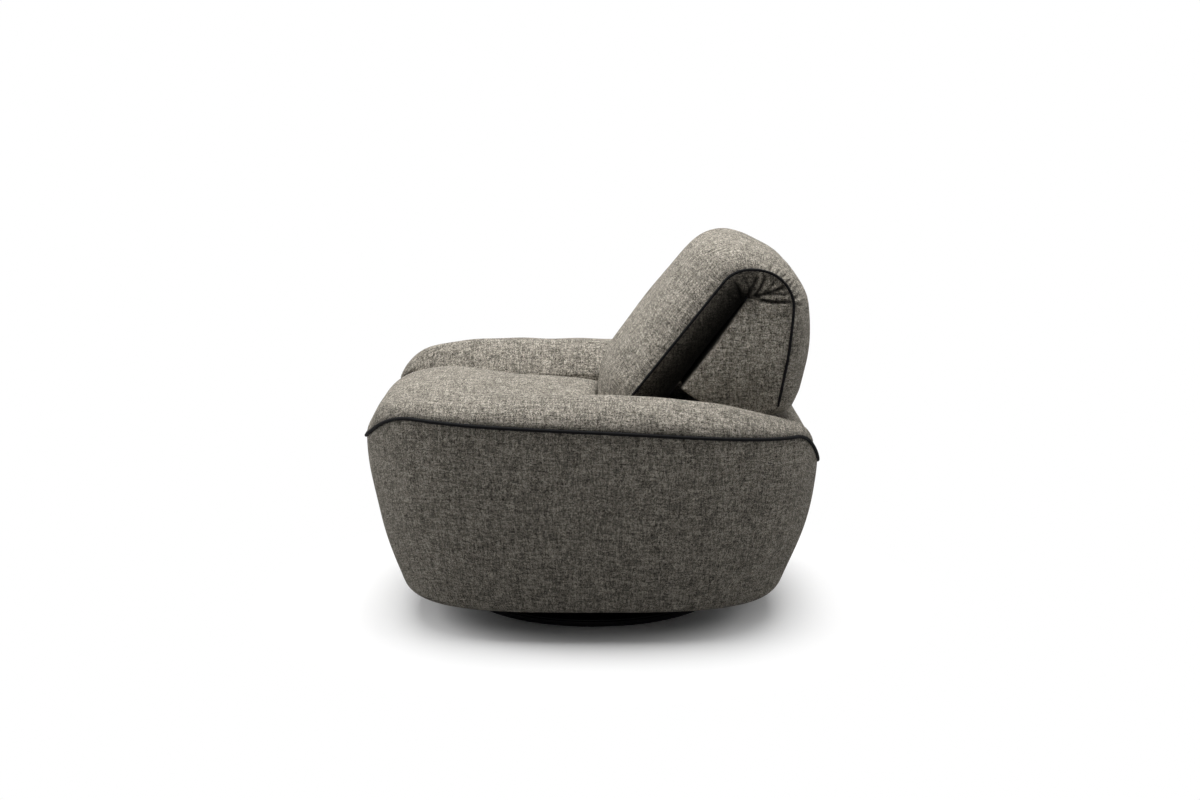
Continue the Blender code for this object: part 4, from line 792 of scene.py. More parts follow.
def cover_section(turn):
    """Outline of the cover at one turn: down the outside, round the hem and up the inside."""
    seam = seam_z(round_plan(turn, TUB_HALF_WIDTH, TUB_HALF_DEPTH)[1])
    hem_top = TUB_UNDERSIDE + HEM_RADIUS
    lip_top = TUB_UNDERSIDE + HEM_THICKNESS
    points = []
    for k in range(WALL_STEPS + 1):
        share = (k / WALL_STEPS) ** WALL_CROWDING
        points.append(cover_point(turn, seam + (hem_top - seam) * share, 0))
    for k in range(1, HEM_STEPS + 1):
        bend = math.pi / 2 * k / HEM_STEPS
        z = hem_top - HEM_RADIUS * math.sin(bend)
        points.append(cover_point(turn, z, HEM_RADIUS * (1 - math.cos(bend))))
    for k in range(1, LIP_STEPS + 1):
        inset = HEM_RADIUS + (HEM_LIP - HEM_RADIUS) * k / LIP_STEPS
        points.append(cover_point(turn, TUB_UNDERSIDE, inset))
    points += [cover_point(turn, lip_top, HEM_LIP), cover_point(turn, lip_top, COVER_THICKNESS)]
    for k in range(1, LINING_STEPS + 1):
        points.append(cover_point(turn, lip_top + (seam - lip_top) * k / LINING_STEPS, COVER_THICKNESS))
    points += [cover_point(turn, seam, COVER_THICKNESS * share) for share in TOP_EDGE_SHARES]
    return points


def places_of(mesh):
    """Places of a mesh's points, one to a row."""
    places = np.empty(len(mesh.vertices) * 3)
    mesh.vertices.foreach_get("co", places)
    return places.reshape(-1, 3)


def ways_of(mesh):
    """Directions that face out at a mesh's points."""
    ways = np.empty(len(mesh.vertices) * 3)
    mesh.vertex_normals.foreach_get("vector", ways)
    return ways.reshape(-1, 3)


def settle(piece, places):
    """Moves a piece's points to new places."""
    piece.data.vertices.foreach_set("co", places.ravel())
    piece.data.update()


def unevenness(places, wavelength, seed, waves=7):
    """Smooth random value at each place, mostly from -1 to 1: waves of one length in all directions."""
    chance = np.random.default_rng(seed)
    total = np.zeros(len(places))
    for _ in range(waves):
        way = chance.normal(size=3)
        way *= math.tau / (wavelength * np.linalg.norm(way))
        total += np.sin(places @ way + chance.uniform(0, math.tau))
    return total / waves ** 0.5


def plump(piece, held, pressure, cap):
    """Blows a pad up inside its cover by cloth simulation; held points stay and none moves past the cap."""
    group = piece.vertex_groups.new(name="held")
    for index in np.nonzero(held)[0]:
        group.add([int(index)], 1.0, "REPLACE")
    before = places_of(piece.data)
    modifier = piece.modifiers.new("plump", "CLOTH")
    settings = modifier.settings
    settings.quality = PLUMP_QUALITY
    settings.mass = PLUMP_MASS
    settings.bending_stiffness = PLUMP_STIFFNESS
    settings.use_pressure = True
    settings.uniform_pressure_force = pressure
    settings.vertex_group_mass = "held"
    settings.effector_weights.gravity = 0
    modifier.collision_settings.use_collision = False
    scene = bpy.context.scene
    for number in range(1, PLUMP_FRAMES + 1):
        scene.frame_set(number)
    blown = places_of(piece.evaluated_get(bpy.context.evaluated_depsgraph_get()).data)
    piece.modifiers.remove(modifier)
    piece.vertex_groups.remove(group)
    scene.frame_set(1)
    shift = blown - before
    length = np.linalg.norm(shift, axis=1)[:, None]
    settle(piece, before + shift * cap / (length + cap))


def refine(piece):
    """One level of subdivision, made part of the mesh."""
    modifier = piece.modifiers.new("fine", "SUBSURF")
    modifier.levels = modifier.render_levels = 1
    fine = bpy.data.meshes.new_from_object(piece.evaluated_get(bpy.context.evaluated_depsgraph_get()))
    piece.modifiers.remove(modifier)
    piece.data = fine
    fine.name = piece.name


tweed = tweed_finish("tweed")
uniform_turns = [math.tau * k / COVER_TURNS for k in range(COVER_TURNS)]
seam_turns = [math.radians(base + sign * PANEL_CORNER) for base in (0, 180) for sign in (-1, 1)]
fine_turns = []
for seam in seam_turns:
    fine_turns += [seam + step * PANEL_SEAM_WIDTH / TUB_HALF_WIDTH for step in PANEL_SEAM_STEPS]
cover_turns = sorted({round(turn % math.tau, 6) for turn in uniform_turns + fine_turns})
cover_rows = [cover_section(turn) for turn in cover_turns]
tub_cover = cloth_skin("tub_cover", cover_rows, tweed, loop=True, centre=COVER_CENTRE)
refine(tub_cover)
places, ways = places_of(tub_cover.data), ways_of(tub_cover.data)
turns = np.arctan2(np.abs(places[:, 1] / TUB_HALF_DEPTH) ** (PLAN_POWER / 2) * np.sign(places[:, 1]),
                   np.abs(places[:, 0] / TUB_HALF_WIDTH) ** (PLAN_POWER / 2) * np.sign(places[:, 0]))
seams = np.array([seam_z(round_plan(turn, TUB_HALF_WIDTH, TUB_HALF_DEPTH)[1]) for turn in turns])
below = seams - places[:, 2]
lift = COVER_WAVE_HEIGHT * unevenness(places, COVER_WAVE, COVER_WAVE_SEED)
lift *= np.clip(below / COVER_WAVE_FADE, 0, 1)
wander = PULL_WANDER * unevenness(places, PULL_WANDER_WAVE, COVER_PULL_SEED)
pulls = np.abs(np.sin(np.pi * TUB_HALF_WIDTH * turns / PULL_PITCH + wander))
lift -= PULL_DEPTH * (1 - pulls) * np.exp(-below / PULL_REACH)
for seam in seam_turns:
    off = np.abs((turns - seam + math.pi) % math.tau - math.pi) * TUB_HALF_WIDTH
    lift -= PANEL_SEAM_DEPTH * np.exp(-(off / PANEL_SEAM_WIDTH) ** 2)
lift *= np.clip((places[:, 2] - TUB_UNDERSIDE) / HEM_RADIUS, 0, 1)
settle(tub_cover, places + ways * lift[:, None])
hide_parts("cover_panel_front", "cover_panel_rear", "cover_panel_left", "cover_panel_right")
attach(tub_cover, "tub")


# Arm pads
# Foam rolled over the arm boards, in tweed pulled down to the piped seam outside and tucked in
# beside the seat. Each is fullest along its middle, slopes down to the seat, and rounds off at both
# ends.

SEAT_SPACE = 0.536
ARM_HEIGHT = 0.4965
ARM_REAR_FALL = 0.040
ARM_REAR_FALL_LENGTH = 0.340
ARM_FRONT_ROLL = 0.230
ARM_REAR_ROLL = 0.150
ARM_CROWN_SHARE = 0.52
ARM_INNER_FALL = 0.066
ARM_INNER_POWER = 2.0
ARM_INNER_CROWDING = 1.25
ARM_FALL_SHARE = 0.72
ARM_NOSE = 0.006
ARM_TUCK = 0.035
ARM_TUCK_DEPTH = 0.060
ARM_TUCK_REACH = 0.412
ARM_TUCK_FADE = 0.030
ARM_INSIDE = 0.001
SEAM_FLANGE = 0.003
ARM_ROWS = 110
ARM_OUTER_STEPS = 34
ARM_INNER_STEPS = 20
ARM_FOOT_STEPS = 6
ARM_BASE_STEPS = 6
ARM_CENTRE = 28
ARM_HELD = 0.003
ARM_PRESSURE = 3.0
ARM_CAP = 0.0035
ARM_WAVE = 0.120
ARM_WAVE_HEIGHT = 0.0012
ARM_WAVE_FADE = 0.02
ARM_WAVE_SEED = 11
ARM_PULL_SEED = 14
ARM_X = SEAT_SPACE / 2


def plan_reach(offset, half_here, half_there):
    """Half size of the tub's plan along one axis at an offset along the other."""
    share = min(abs(offset) / half_here, 1)
    return half_there * (1 - share ** PLAN_POWER) ** (1 / PLAN_POWER)


def arm_crown_z(y):
    """Height of an arm's crown, which rounds down to the seam at both ends."""
    end = plan_reach(ARM_X, TUB_HALF_WIDTH, TUB_HALF_DEPTH)
    front = min(1, max(0, (y + end) / ARM_FRONT_ROLL))
    rear = min(1, max(0, (end - y) / ARM_REAR_ROLL))
    rise = min(math.sqrt(1 - (1 - front) ** 2), math.sqrt(1 - (1 - rear) ** 2))
    top = ARM_HEIGHT - ARM_REAR_FALL * (max(0, y) / ARM_REAR_FALL_LENGTH) ** 2
    base = seam_z(y) + SEAM_FLANGE
    return base + (top - base) * rise


def arm_section(y):
    """Outline of the left arm at a depth: up the outside, down the slope and the inner side, and back."""
    x_out = plan_reach(y, TUB_HALF_DEPTH - ARM_INSIDE, TUB_HALF_WIDTH - ARM_INSIDE)
    width = x_out - ARM_X
    x_crown = ARM_X + ARM_CROWN_SHARE * width
    base, crown = seam_z(y) + SEAM_FLANGE, arm_crown_z(y)
    fade = min(1, max(0, (ARM_TUCK_REACH - abs(y)) / ARM_TUCK_FADE))
    foot = base - ARM_TUCK_DEPTH * fade * fade * (3 - 2 * fade)
    fall = min(ARM_INNER_FALL, (crown - foot) * ARM_FALL_SHARE)
    points = []
    for k in range(ARM_OUTER_STEPS + 1):
        turn = math.pi / 2 * k / ARM_OUTER_STEPS
        x = x_out - (x_out - x_crown) * (1 - math.cos(turn))
        points.append((x, base + (crown - base) * math.sin(turn)))
    for k in range(1, ARM_INNER_STEPS + 1):
        share = 1 - (1 - k / ARM_INNER_STEPS) ** ARM_INNER_CROWDING
        points.append((x_crown - (x_crown - ARM_X) * share, crown - fall * share ** ARM_INNER_POWER))
    side_low = crown - fall
    for k in range(1, ARM_FOOT_STEPS + 1):
        points.append((ARM_X, side_low + (foot - side_low) * k / ARM_FOOT_STEPS))
    x_tuck = ARM_X + min(ARM_TUCK, width / 2)
    points += [(x_tuck, foot), (x_tuck, base)]
    points += [(x_tuck + (x_out - x_tuck) * k / ARM_BASE_STEPS, base) for k in range(1, ARM_BASE_STEPS)]
    return [(x, y, z) for x, z in points]


arm_tip = plan_reach(ARM_X + ARM_NOSE, TUB_HALF_WIDTH - ARM_INSIDE, TUB_HALF_DEPTH - ARM_INSIDE)
arm_ys = [arm_tip * math.sin(math.pi / 2 * (2 * k / ARM_ROWS - 1)) for k in range(ARM_ROWS + 1)]
arm_rows = np.array([arm_section(y) for y in arm_ys])
for side, sign in (("left", 1), ("right", -1)):
    rows = arm_rows * (sign, 1, 1)
    arm = cloth_skin(f"arm_cushion_{side}", rows, tweed, centre=ARM_CENTRE)
    places = places_of(arm.data)
    base_z = np.array([seam_z(y) + SEAM_FLANGE for y in places[:, 1]])
    plump(arm, places[:, 2] < base_z + ARM_HELD, ARM_PRESSURE, ARM_CAP)
    refine(arm)
    places, ways = places_of(arm.data), ways_of(arm.data)
    base_z = np.array([seam_z(y) + SEAM_FLANGE for y in places[:, 1]])
    over = np.clip((places[:, 2] - base_z) / ARM_WAVE_FADE, 0, 1)
    lift = ARM_WAVE_HEIGHT * unevenness(places, ARM_WAVE, ARM_WAVE_SEED + sign) * over
    arc = np.arctan2(places[:, 1], np.abs(places[:, 0])) * TUB_HALF_WIDTH
    wander = PULL_WANDER * unevenness(places, PULL_WANDER_WAVE, ARM_PULL_SEED)
    pulls = np.abs(np.sin(np.pi * arc / PULL_PITCH + wander))
    outside = np.clip((np.abs(places[:, 0]) - ARM_X) / ARM_WAVE_FADE, 0, 1)
    near_seam = np.exp(-(places[:, 2] - base_z) / PULL_REACH)
    lift -= PULL_DEPTH * (1 - pulls) * near_seam * over ** 0.5 * outside
    settle(arm, places + ways * lift[:, None])
    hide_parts(f"arm_pad_{side}")
    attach(arm, "tub")


# Seat cushion
# One thick block of foam in a tweed cover, crowned from side to side. Its front rolls down over
# the rail to the piped seam, and its rear runs back under the foot of the back.

SEAT_TOP = 0.4665
SEAT_FALL = 0.026
SEAT_FALL_POWER = 1.5
SEAT_FRONT_SIDE_DROP = 0.026
SEAT_REAR_SIDE_DROP = 0.046
SEAT_CROWN_POWER = 2.1
SEAT_FRONT_ROLL = 0.115
SEAT_REAR_ROUND = 0.016
SEAT_REAR_GAP = 0.003
SEAT_STEP_FIT = 0.004
SEAT_COLUMNS = 72
SEAT_CENTRE = 40
SEAT_ROLL_STEPS = 26
SEAT_TOP_STEPS = 40
SEAT_ROUND_STEPS = 6
SEAT_REAR_STEPS = 8
SEAT_UNDER_STEPS = 14
SEAT_STEP_STEPS = 5
SEAT_EDGE_STEPS = 4
SEAT_HELD_FOOT = 0.06
SEAT_HELD_FRONT = 0.006
SEAT_HELD_SIDE = 0.004
SEAT_PRESSURE = 3.0
SEAT_CAP = 0.004
SEAT_WAVE = 0.150
SEAT_WAVE_HEIGHT = 0.0016
SEAT_WAVE_FROM = 0.38
SEAT_WAVE_FADE = 0.03
SEAT_WAVE_SEED = 21
seat_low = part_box("seat_cushion")[0].z


def inner_wall(offset, z, seam, across):
    """Inside of the tub cover along one axis at an offset along the other."""
    taper = min(1, max(0, (seam - z) / (seam - TUB_UNDERSIDE))) ** TAPER_POWER
    half_x = TUB_HALF_WIDTH - SIDE_TAPER * taper - COVER_THICKNESS
    half_y = TUB_HALF_DEPTH - END_TAPER * taper - COVER_THICKNESS
    return plan_reach(offset, half_y, half_x) if across else plan_reach(offset, half_x, half_y)


def cover_seam_z(x, end):
    """Height of the seam above the cover's inside, at a width and at the rear or the front end."""
    x_outside = x * TUB_HALF_WIDTH / (TUB_HALF_WIDTH - COVER_THICKNESS)
    return seam_z(end * plan_reach(x_outside, TUB_HALF_WIDTH, TUB_HALF_DEPTH))


def crowding(count):
    """Shares from -1 to 1 that crowd towards both ends."""
    return [math.sin(math.pi / 2 * (2 * k / count - 1)) for k in range(count + 1)]


BACK_LEAN = 38.4
HINGE = Vector((0, 0.314, 0.666))
BACK_UP = Vector((0, math.sin(math.radians(BACK_LEAN)), math.cos(math.radians(BACK_LEAN))))
BACK_OUT = Vector((0, -BACK_UP.z, BACK_UP.y))
BACK_HALF_WIDTH = 0.258
BACK_CROWN = 0.068
BACK_CROWN_POWER = 3.0
BACK_FOOT_HEIGHT = 0.500
FOLD_RADIUS = 0.082
FOLD_CENTRE = Vector((0, 0.007, -0.016))
FOLD_FLAT = 0.0058
FOLD_START = math.radians(180 - BACK_LEAN)
REST_LEAN = 10.7
FOLD_END = math.radians(-REST_LEAN)


def fold_reach(way):
    """Distance from the hinge line to the piped edge of the fold in one direction."""
    along = -FOLD_CENTRE.dot(way)
    share = (FOLD_START - math.atan2(way.z, way.y)) / (FOLD_START - FOLD_END)
    flat = FOLD_FLAT * math.sin(math.pi / 2 * min(1, max(0, 2 * share))) ** 2
    return -along + math.sqrt(along ** 2 - FOLD_CENTRE.length_squared + FOLD_RADIUS ** 2) - flat


def crown_at(x, height):
    """How far the padding stands out past its piped edges at a width."""
    return height * (1 - min(1, abs(x) / BACK_HALF_WIDTH) ** BACK_CROWN_POWER) ** 0.5


BACK_EDGE = fold_reach(BACK_OUT)


def slab_line_y(out, z):
    """Depth, at a height, of a line that runs up the slab at an out-distance."""
    return HINGE.y + (BACK_UP.y * (z - HINGE.z) - out) / BACK_UP.z


def seat_rear_y_at(x, z):
    """Depth of the seat's rear, just in front of the slab's rounded foot."""
    out = BACK_EDGE + crown_at(x, BACK_CROWN)
    face = slab_line_y(out, z)
    if z < BACK_FOOT_HEIGHT:
        face = min(slab_line_y(BACK_EDGE, z), slab_line_y(out, BACK_FOOT_HEIGHT))
    return face - SEAT_REAR_GAP


def seat_section(x):
    """Outline of the seat at a width: up the front, over the top, down the rear and back under."""
    half = ARM_X - ARM_INSIDE
    y_out = -plan_reach(x, TUB_HALF_WIDTH - ARM_INSIDE, TUB_HALF_DEPTH - ARM_INSIDE)
    base = seam_z(y_out) + SEAM_FLANGE
    y_step = -inner_wall(x, seat_low, base, False) + SEAT_STEP_FIT
    flat = (1 - min(1, abs(x) / half) ** SEAT_CROWN_POWER) ** 0.5
    top = SEAT_TOP - SEAT_FRONT_SIDE_DROP * (1 - flat)
    side_fall = (SEAT_REAR_SIDE_DROP - SEAT_FRONT_SIDE_DROP) * (1 - flat)
    rear_top = top - SEAT_FALL - side_fall
    y_rear = seat_rear_y_at(x, rear_top - SEAT_REAR_ROUND)
    points = []
    for k in range(SEAT_ROLL_STEPS + 1):
        turn = math.pi / 2 * k / SEAT_ROLL_STEPS
        y = y_out + SEAT_FRONT_ROLL * (1 - math.cos(turn))
        points.append((y, base + (top - base) * math.sin(turn)))
    y_roll = y_out + SEAT_FRONT_ROLL
    y_flat = y_rear - SEAT_REAR_ROUND
    for k in range(1, SEAT_TOP_STEPS + 1):
        share = k / SEAT_TOP_STEPS
        z = top - side_fall * share - SEAT_FALL * share ** SEAT_FALL_POWER
        points.append((y_roll + (y_flat - y_roll) * share, z))
    for k in range(1, SEAT_ROUND_STEPS + 1):
        turn = math.pi / 2 * k / SEAT_ROUND_STEPS
        z = rear_top - SEAT_REAR_ROUND * (1 - math.cos(turn))
        points.append((y_flat + SEAT_REAR_ROUND * math.sin(turn), z))
    for k in range(1, SEAT_REAR_STEPS + 1):
        z = rear_top - SEAT_REAR_ROUND + (seat_low - rear_top + SEAT_REAR_ROUND) * k / SEAT_REAR_STEPS
        points.append((seat_rear_y_at(x, z), z))
    y_foot = points[-1][0]
    for k in range(1, SEAT_UNDER_STEPS + 1):
        points.append((y_foot + (y_step - y_foot) * k / SEAT_UNDER_STEPS, seat_low))
    step_top = cover_seam_z(x, -1) + 2 * SEAM_FLANGE
    for k in range(1, SEAT_STEP_STEPS + 1):
        points.append((y_step, seat_low + (step_top - seat_low) * k / SEAT_STEP_STEPS))
    for k in range(1, SEAT_EDGE_STEPS):
        y = y_step + (y_out - y_step) * k / SEAT_EDGE_STEPS
        points.append((y, step_top + (base - step_top) * k / SEAT_EDGE_STEPS))
    return [(x, y, z) for y, z in points]


seat_rows = [seat_section((ARM_X - ARM_INSIDE) * share) for share in crowding(SEAT_COLUMNS)]
seat = cloth_skin("seat_pad", seat_rows, tweed, centre=SEAT_CENTRE)
places = places_of(seat.data)
held = places[:, 2] < seat_low + SEAT_HELD_FOOT
held |= places[:, 1] < -TUB_HALF_DEPTH + SEAT_HELD_FRONT
held |= np.abs(places[:, 0]) > ARM_X - SEAT_HELD_SIDE
plump(seat, held, SEAT_PRESSURE, SEAT_CAP)
refine(seat)
places, ways = places_of(seat.data), ways_of(seat.data)
top_share = np.clip((places[:, 2] - SEAT_WAVE_FROM) / SEAT_WAVE_FADE, 0, 1)
lift = SEAT_WAVE_HEIGHT * unevenness(places, SEAT_WAVE, SEAT_WAVE_SEED) * top_share
settle(seat, places + ways * lift[:, None])
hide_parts("seat_cushion")
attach(seat, "tub")


# Pad across the rear
# A flat foam pad on the shelf behind the back, in tweed that rolls down to the piped seam. The
# headrest hangs just over it.

REAR_PAD_TOP = 0.424
REAR_PAD_FRONT = 0.100
REAR_PAD_ROLL = 0.125
REAR_PAD_EDGE = 0.015
REAR_PAD_CROWN_POWER = 6.0
REAR_PAD_COLUMNS = 64
REAR_PAD_CENTRE = 24
REAR_FRONT_STEPS = 4
REAR_ROUND_STEPS = 6
REAR_TOP_STEPS = 26
REAR_ROLL_STEPS = 24
REAR_EDGE_STEPS = 3
REAR_UNDER_STEPS = 12
REAR_PAD_WAVE_HEIGHT = 0.0009
REAR_PAD_WAVE_FROM = 0.03
REAR_PAD_WAVE_FADE = 0.03
REAR_PAD_WAVE_SEED = 31
rear_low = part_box("rear_pad")[0].z


def rear_section(x):
    """Outline of the rear pad at a width: up the front, over the top, down to the seam and back under."""
    y_out = plan_reach(x, TUB_HALF_WIDTH - ARM_INSIDE, TUB_HALF_DEPTH - ARM_INSIDE)
    base = seam_z(y_out) + SEAM_FLANGE
    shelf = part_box("rear_shelf")[1].z
    seam = cover_seam_z(x, 1)
    y_step = inner_wall(x, min(shelf, seam), seam, False) - SEAT_STEP_FIT
    y_crown = y_out - REAR_PAD_ROLL
    top = REAR_PAD_TOP - REAR_PAD_EDGE * abs(x / ARM_X) ** REAR_PAD_CROWN_POWER
    points = []
    for k in range(REAR_FRONT_STEPS + 1):
        points.append((REAR_PAD_FRONT, shelf + (top - REAR_PAD_EDGE - shelf) * k / REAR_FRONT_STEPS))
    for k in range(1, REAR_ROUND_STEPS + 1):
        turn = math.pi / 2 * k / REAR_ROUND_STEPS
        points.append((REAR_PAD_FRONT + REAR_PAD_EDGE * (1 - math.cos(turn)),
                       top - REAR_PAD_EDGE + REAR_PAD_EDGE * math.sin(turn)))
    y_flat = REAR_PAD_FRONT + REAR_PAD_EDGE
    for k in range(1, REAR_TOP_STEPS + 1):
        points.append((y_flat + (y_crown - y_flat) * k / REAR_TOP_STEPS, top))
    for k in range(1, REAR_ROLL_STEPS + 1):
        turn = math.pi / 2 * k / REAR_ROLL_STEPS
        points.append((y_crown + REAR_PAD_ROLL * math.sin(turn), base + (top - base) * math.cos(turn)))
    step_top = seam + 2 * SEAM_FLANGE
    for k in range(1, REAR_EDGE_STEPS + 1):
        y = y_out + (y_step - y_out) * k / REAR_EDGE_STEPS
        points.append((y, base + (step_top - base) * k / REAR_EDGE_STEPS))
    for k in range(1, REAR_EDGE_STEPS + 1):
        points.append((y_step, step_top + (shelf - step_top) * k / REAR_EDGE_STEPS))
    for k in range(1, REAR_UNDER_STEPS):
        points.append((y_step + (REAR_PAD_FRONT - y_step) * k / REAR_UNDER_STEPS, shelf))
    return [(x, y, z) for y, z in points]


rear_rows = [rear_section((ARM_X - ARM_INSIDE) * share) for share in crowding(REAR_PAD_COLUMNS)]
rear = cloth_skin("rear_cushion", rear_rows, tweed, centre=REAR_PAD_CENTRE)
refine(rear)
places, ways = places_of(rear.data), ways_of(rear.data)
over = np.clip((places[:, 2] - rear_low - REAR_PAD_WAVE_FROM) / REAR_PAD_WAVE_FADE, 0, 1)
lift = REAR_PAD_WAVE_HEIGHT * unevenness(places, SEAT_WAVE, REAR_PAD_WAVE_SEED) * over
settle(rear, places + ways * lift[:, None])
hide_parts("rear_pad")
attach(rear, "tub")


# Back: slab, fold and headrest
# One long foam cushion in tweed that runs up the slab, over the hinge and down the rear as the
# headrest. Its sides are gussets, gathered into creases where they go round the fold.

REST_DOWN = Vector((0, -math.sin(math.radians(REST_LEAN)), -math.cos(math.radians(REST_LEAN))))
REST_OUT = Vector((0, -REST_DOWN.z, REST_DOWN.y))
REST_EDGE = fold_reach(REST_OUT)
FOLD_CROWNS = (0.068, 0.053, 0.029, 0.031, 0.043)
SIDE_BAND_TOP = 0.058
SIDE_BAND_FOOT = 0.0650
BACK_KNEE_ROUND = 0.018
SLAB_TUCK = 0.028
FOLD_DRAWN_SHARE = 0.35
FOLD_TUCKS = ((0, FOLD_DRAWN_SHARE, 0.85, 1), (SLAB_TUCK, 0.026, 0.025, 0.025))
FOLD_TUCK_POWER = 1.8
REST_SHOULDER = 0.018
REST_SHOULDER_TUCK = 0.007
REST_SPREAD_LENGTH = 0.170
REST_FOLDED_LEAST = 0.2
REST_BULGE = 0.011
REST_BULGE_DOWN = 0.120
REST_BULGE_END = (0.130, 0.210)
REST_BULGE_LEFT = 0.15
REST_BULGE_POWER = 0.7
REST_LENGTH = 0.2256
REST_BASE_RADIUS = 0.224
REST_INNER_START = 0.005
REST_WEDGE_SHARE = 0.484
REST_ROUND_START = 0.194
REST_ROUND_CENTRE = 0.040
REST_CORNER_START = 0.207
REST_TIP = 0.0005
REST_BELLY = 0.011
REST_BOW = 0.0090
REST_BOW_DOWN = 0.120
REST_BELLY_DOWN = 0.120
SLAB_ROWS = 84
FOLD_ROWS = 96
REST_ROWS = 30
REST_END_ROWS = 18
GUSSET_STEPS = 16
FACE_STEPS = 66
INNER_STEPS = 22
BACK_CENTRE = GUSSET_STEPS + FACE_STEPS // 6
BACK_HELD_ROWS = SLAB_ROWS // 4
# Painted shade and light on the back's tweed: the shade values below darken the gussets, throat, inner
# faces, headrest foot, creases and ripples where shade falls, and lighten the headrest's gussets and the
# puffs between creases.
GUSSET_SHADES = (0.01, 0.03, 0.17, 0.80)
GUSSET_SHADE_STEPS = (0, 0.18 * GUSSET_STEPS, 0.55 * GUSSET_STEPS, GUSSET_STEPS)
GUSSET_SHADE_FOLD = 0.55
GUSSET_FOOT_SHADE = 0.5
GUSSET_FOOT_SHARE = 0.3
INNER_PAINTED_SHADE = 0.06
THROAT_SHADE = 0.12
THROAT_STEPS = 0.4 * GUSSET_STEPS
THROAT_FOLD = 0.9
REST_GUSSET_PAINTED_LIGHT = 1.2
FOOT_SHADE = 0.05
FOOT_SHADE_ROWS = 9
CREASE_SHADE = 0.82
CREASE_SHADE_DEPTH = 0.005
PUFF_PAINTED_LIGHT = 0.35
PUFF_SHADE_HEIGHT = 0.002
RIPPLE_SHADE = 0.45
BACK_PRESSURE = 3.0
BACK_CAP = 0.0045
BACK_WAVE = 0.130
BACK_WAVE_HEIGHT = 0.0014
BACK_WAVE_SEED = 41
BACK_RIM = 0.006
CREASES = ((-17, 5, -32, 33, 4.4, 7.0), (-5, 3, 7, 45, 5.0, 9.0), (9, 9, 26, 47, 4.4, 8.0),
           (14, 6, 62, 28, 4.4, 9.0), (22, 0, 74, -4, 3.9, 8.0), (38, 9, 70, 14, 3.2, 4.6),
           (-26, -2, -48, 16, 3.6, 4.0), (28, 18, 46, 40, 3.4, 4.6), (-3, 16, -14, 46, 3.2, 4.6))
MM_PER_METRE = 1000
CREASE_PUFF = 0.5
CREASE_PUFF_WIDTH = 2.2
CREASE_FADE = 0.45
CREASE_END = 4
CREASE_BOW = 1.6
CREASE_BOW_TURN = 1.3
GATHER_FACING = 0.6
GATHER_SIDE = 0.04
GATHER_REACH = 0.105
GATHER_FADE = 0.02
GATHER_EDGE = 0.006
GUSSET_CALM = 0.6
RIPPLES = ((58, 2.4), (46, 2.0), (37, 2.8), (28, 2.2), (20, 2.9), (12, 2.4), (4, 2.6), (-4, 1.8))
RIPPLE_REACH = 0.032
RIPPLE_DEPTH = 0.0060
RIPPLE_FIRST = -12
RIPPLE_LAST = 75
RIPPLE_WANDER = 2.2
RIPPLE_WANDER_WAVE = 0.05
RIPPLE_SEED = 43
ROW_SLACK = 0.1


def fold_crown(share):
    """Crown height along the fold, on a smooth curve through its named values."""
    last = len(FOLD_CROWNS) - 1
    k = min(int(share * last), last - 1)
    t = share * last - k
    before, here, there, after = (FOLD_CROWNS[min(max(k + n, 0), last)] for n in (-1, 0, 1, 2))
    return here + ((there - before) * t + (2 * before - 5 * here + 4 * there - after) * t ** 2
                   + (3 * here - before - 3 * there + after) * t ** 3) / 2


def slab_crown(x, up):
    """The slab's crown, which dies away plumb down its foot, below a rounded knee."""
    crown = crown_at(x, BACK_CROWN)
    knee = (BACK_FOOT_HEIGHT - HINGE.z - BACK_OUT.z * (BACK_EDGE + crown)) / BACK_UP.z
    below = (knee - up + math.hypot(knee - up, BACK_KNEE_ROUND)) / 2
    return max(0, crown - below * BACK_UP.y / BACK_UP.z)


def back_ring(edge, way, crowns, inner, tuck):
    """Section across the back: up one gusset, over the face, down the other gusset and back inside."""
    ring = []
    half = BACK_HALF_WIDTH
    for k in range(GUSSET_STEPS):
        depth = 1 - k / GUSSET_STEPS
        ring.append(edge.lerp(inner, depth) + Vector((half - tuck(depth), 0, 0)))
    for share in crowding(FACE_STEPS):
        ring.append(edge + way * crowns(-half * share) + Vector((-half * share, 0, 0)))
    for k in range(1, GUSSET_STEPS + 1):
        depth = k / GUSSET_STEPS
        ring.append(edge.lerp(inner, depth) - Vector((half - tuck(depth), 0, 0)))
    reach = half - tuck(1)
    for k in range(1, INNER_STEPS):
        ring.append(inner + Vector((reach * (2 * k / INNER_STEPS - 1), 0, 0)))
    return ring


def drawn_under(depth, folded=0):
    """Share of a gusset's tuck on the way in behind its piping; it comes later where it is folded."""
    return (1 - (1 - depth) ** 2) * (1 - folded) + depth ** FOLD_TUCK_POWER * folded


def rest_edge(down):
    """Out-distance of the headrest's piped edges, which bow out a little below the fold."""
    return REST_EDGE + REST_BOW * math.sin(math.pi / 2 * min(1, down / REST_BOW_DOWN))


def rest_tuck(depth, down):
    """The headrest's gusset: drawn in at the fold, then a soft shoulder, then puffed out like a pillow."""
    drawn = REST_SHOULDER_TUCK * max(0, 1 - down / REST_SHOULDER) ** 2
    drawn += (FOLD_TUCKS[1][-1] - REST_SHOULDER_TUCK) * max(0, 1 - down / REST_SPREAD_LENGTH)
    folded = max(REST_FOLDED_LEAST, 1 - down / (2 * REST_SHOULDER))
    puff = REST_BULGE * math.sin(math.pi / 2 * min(1, down / REST_BULGE_DOWN))
    puff *= np.interp(down, REST_BULGE_END, (1, REST_BULGE_LEFT))
    return drawn * drawn_under(depth, folded) - puff * math.sin(math.pi * depth) ** REST_BULGE_POWER


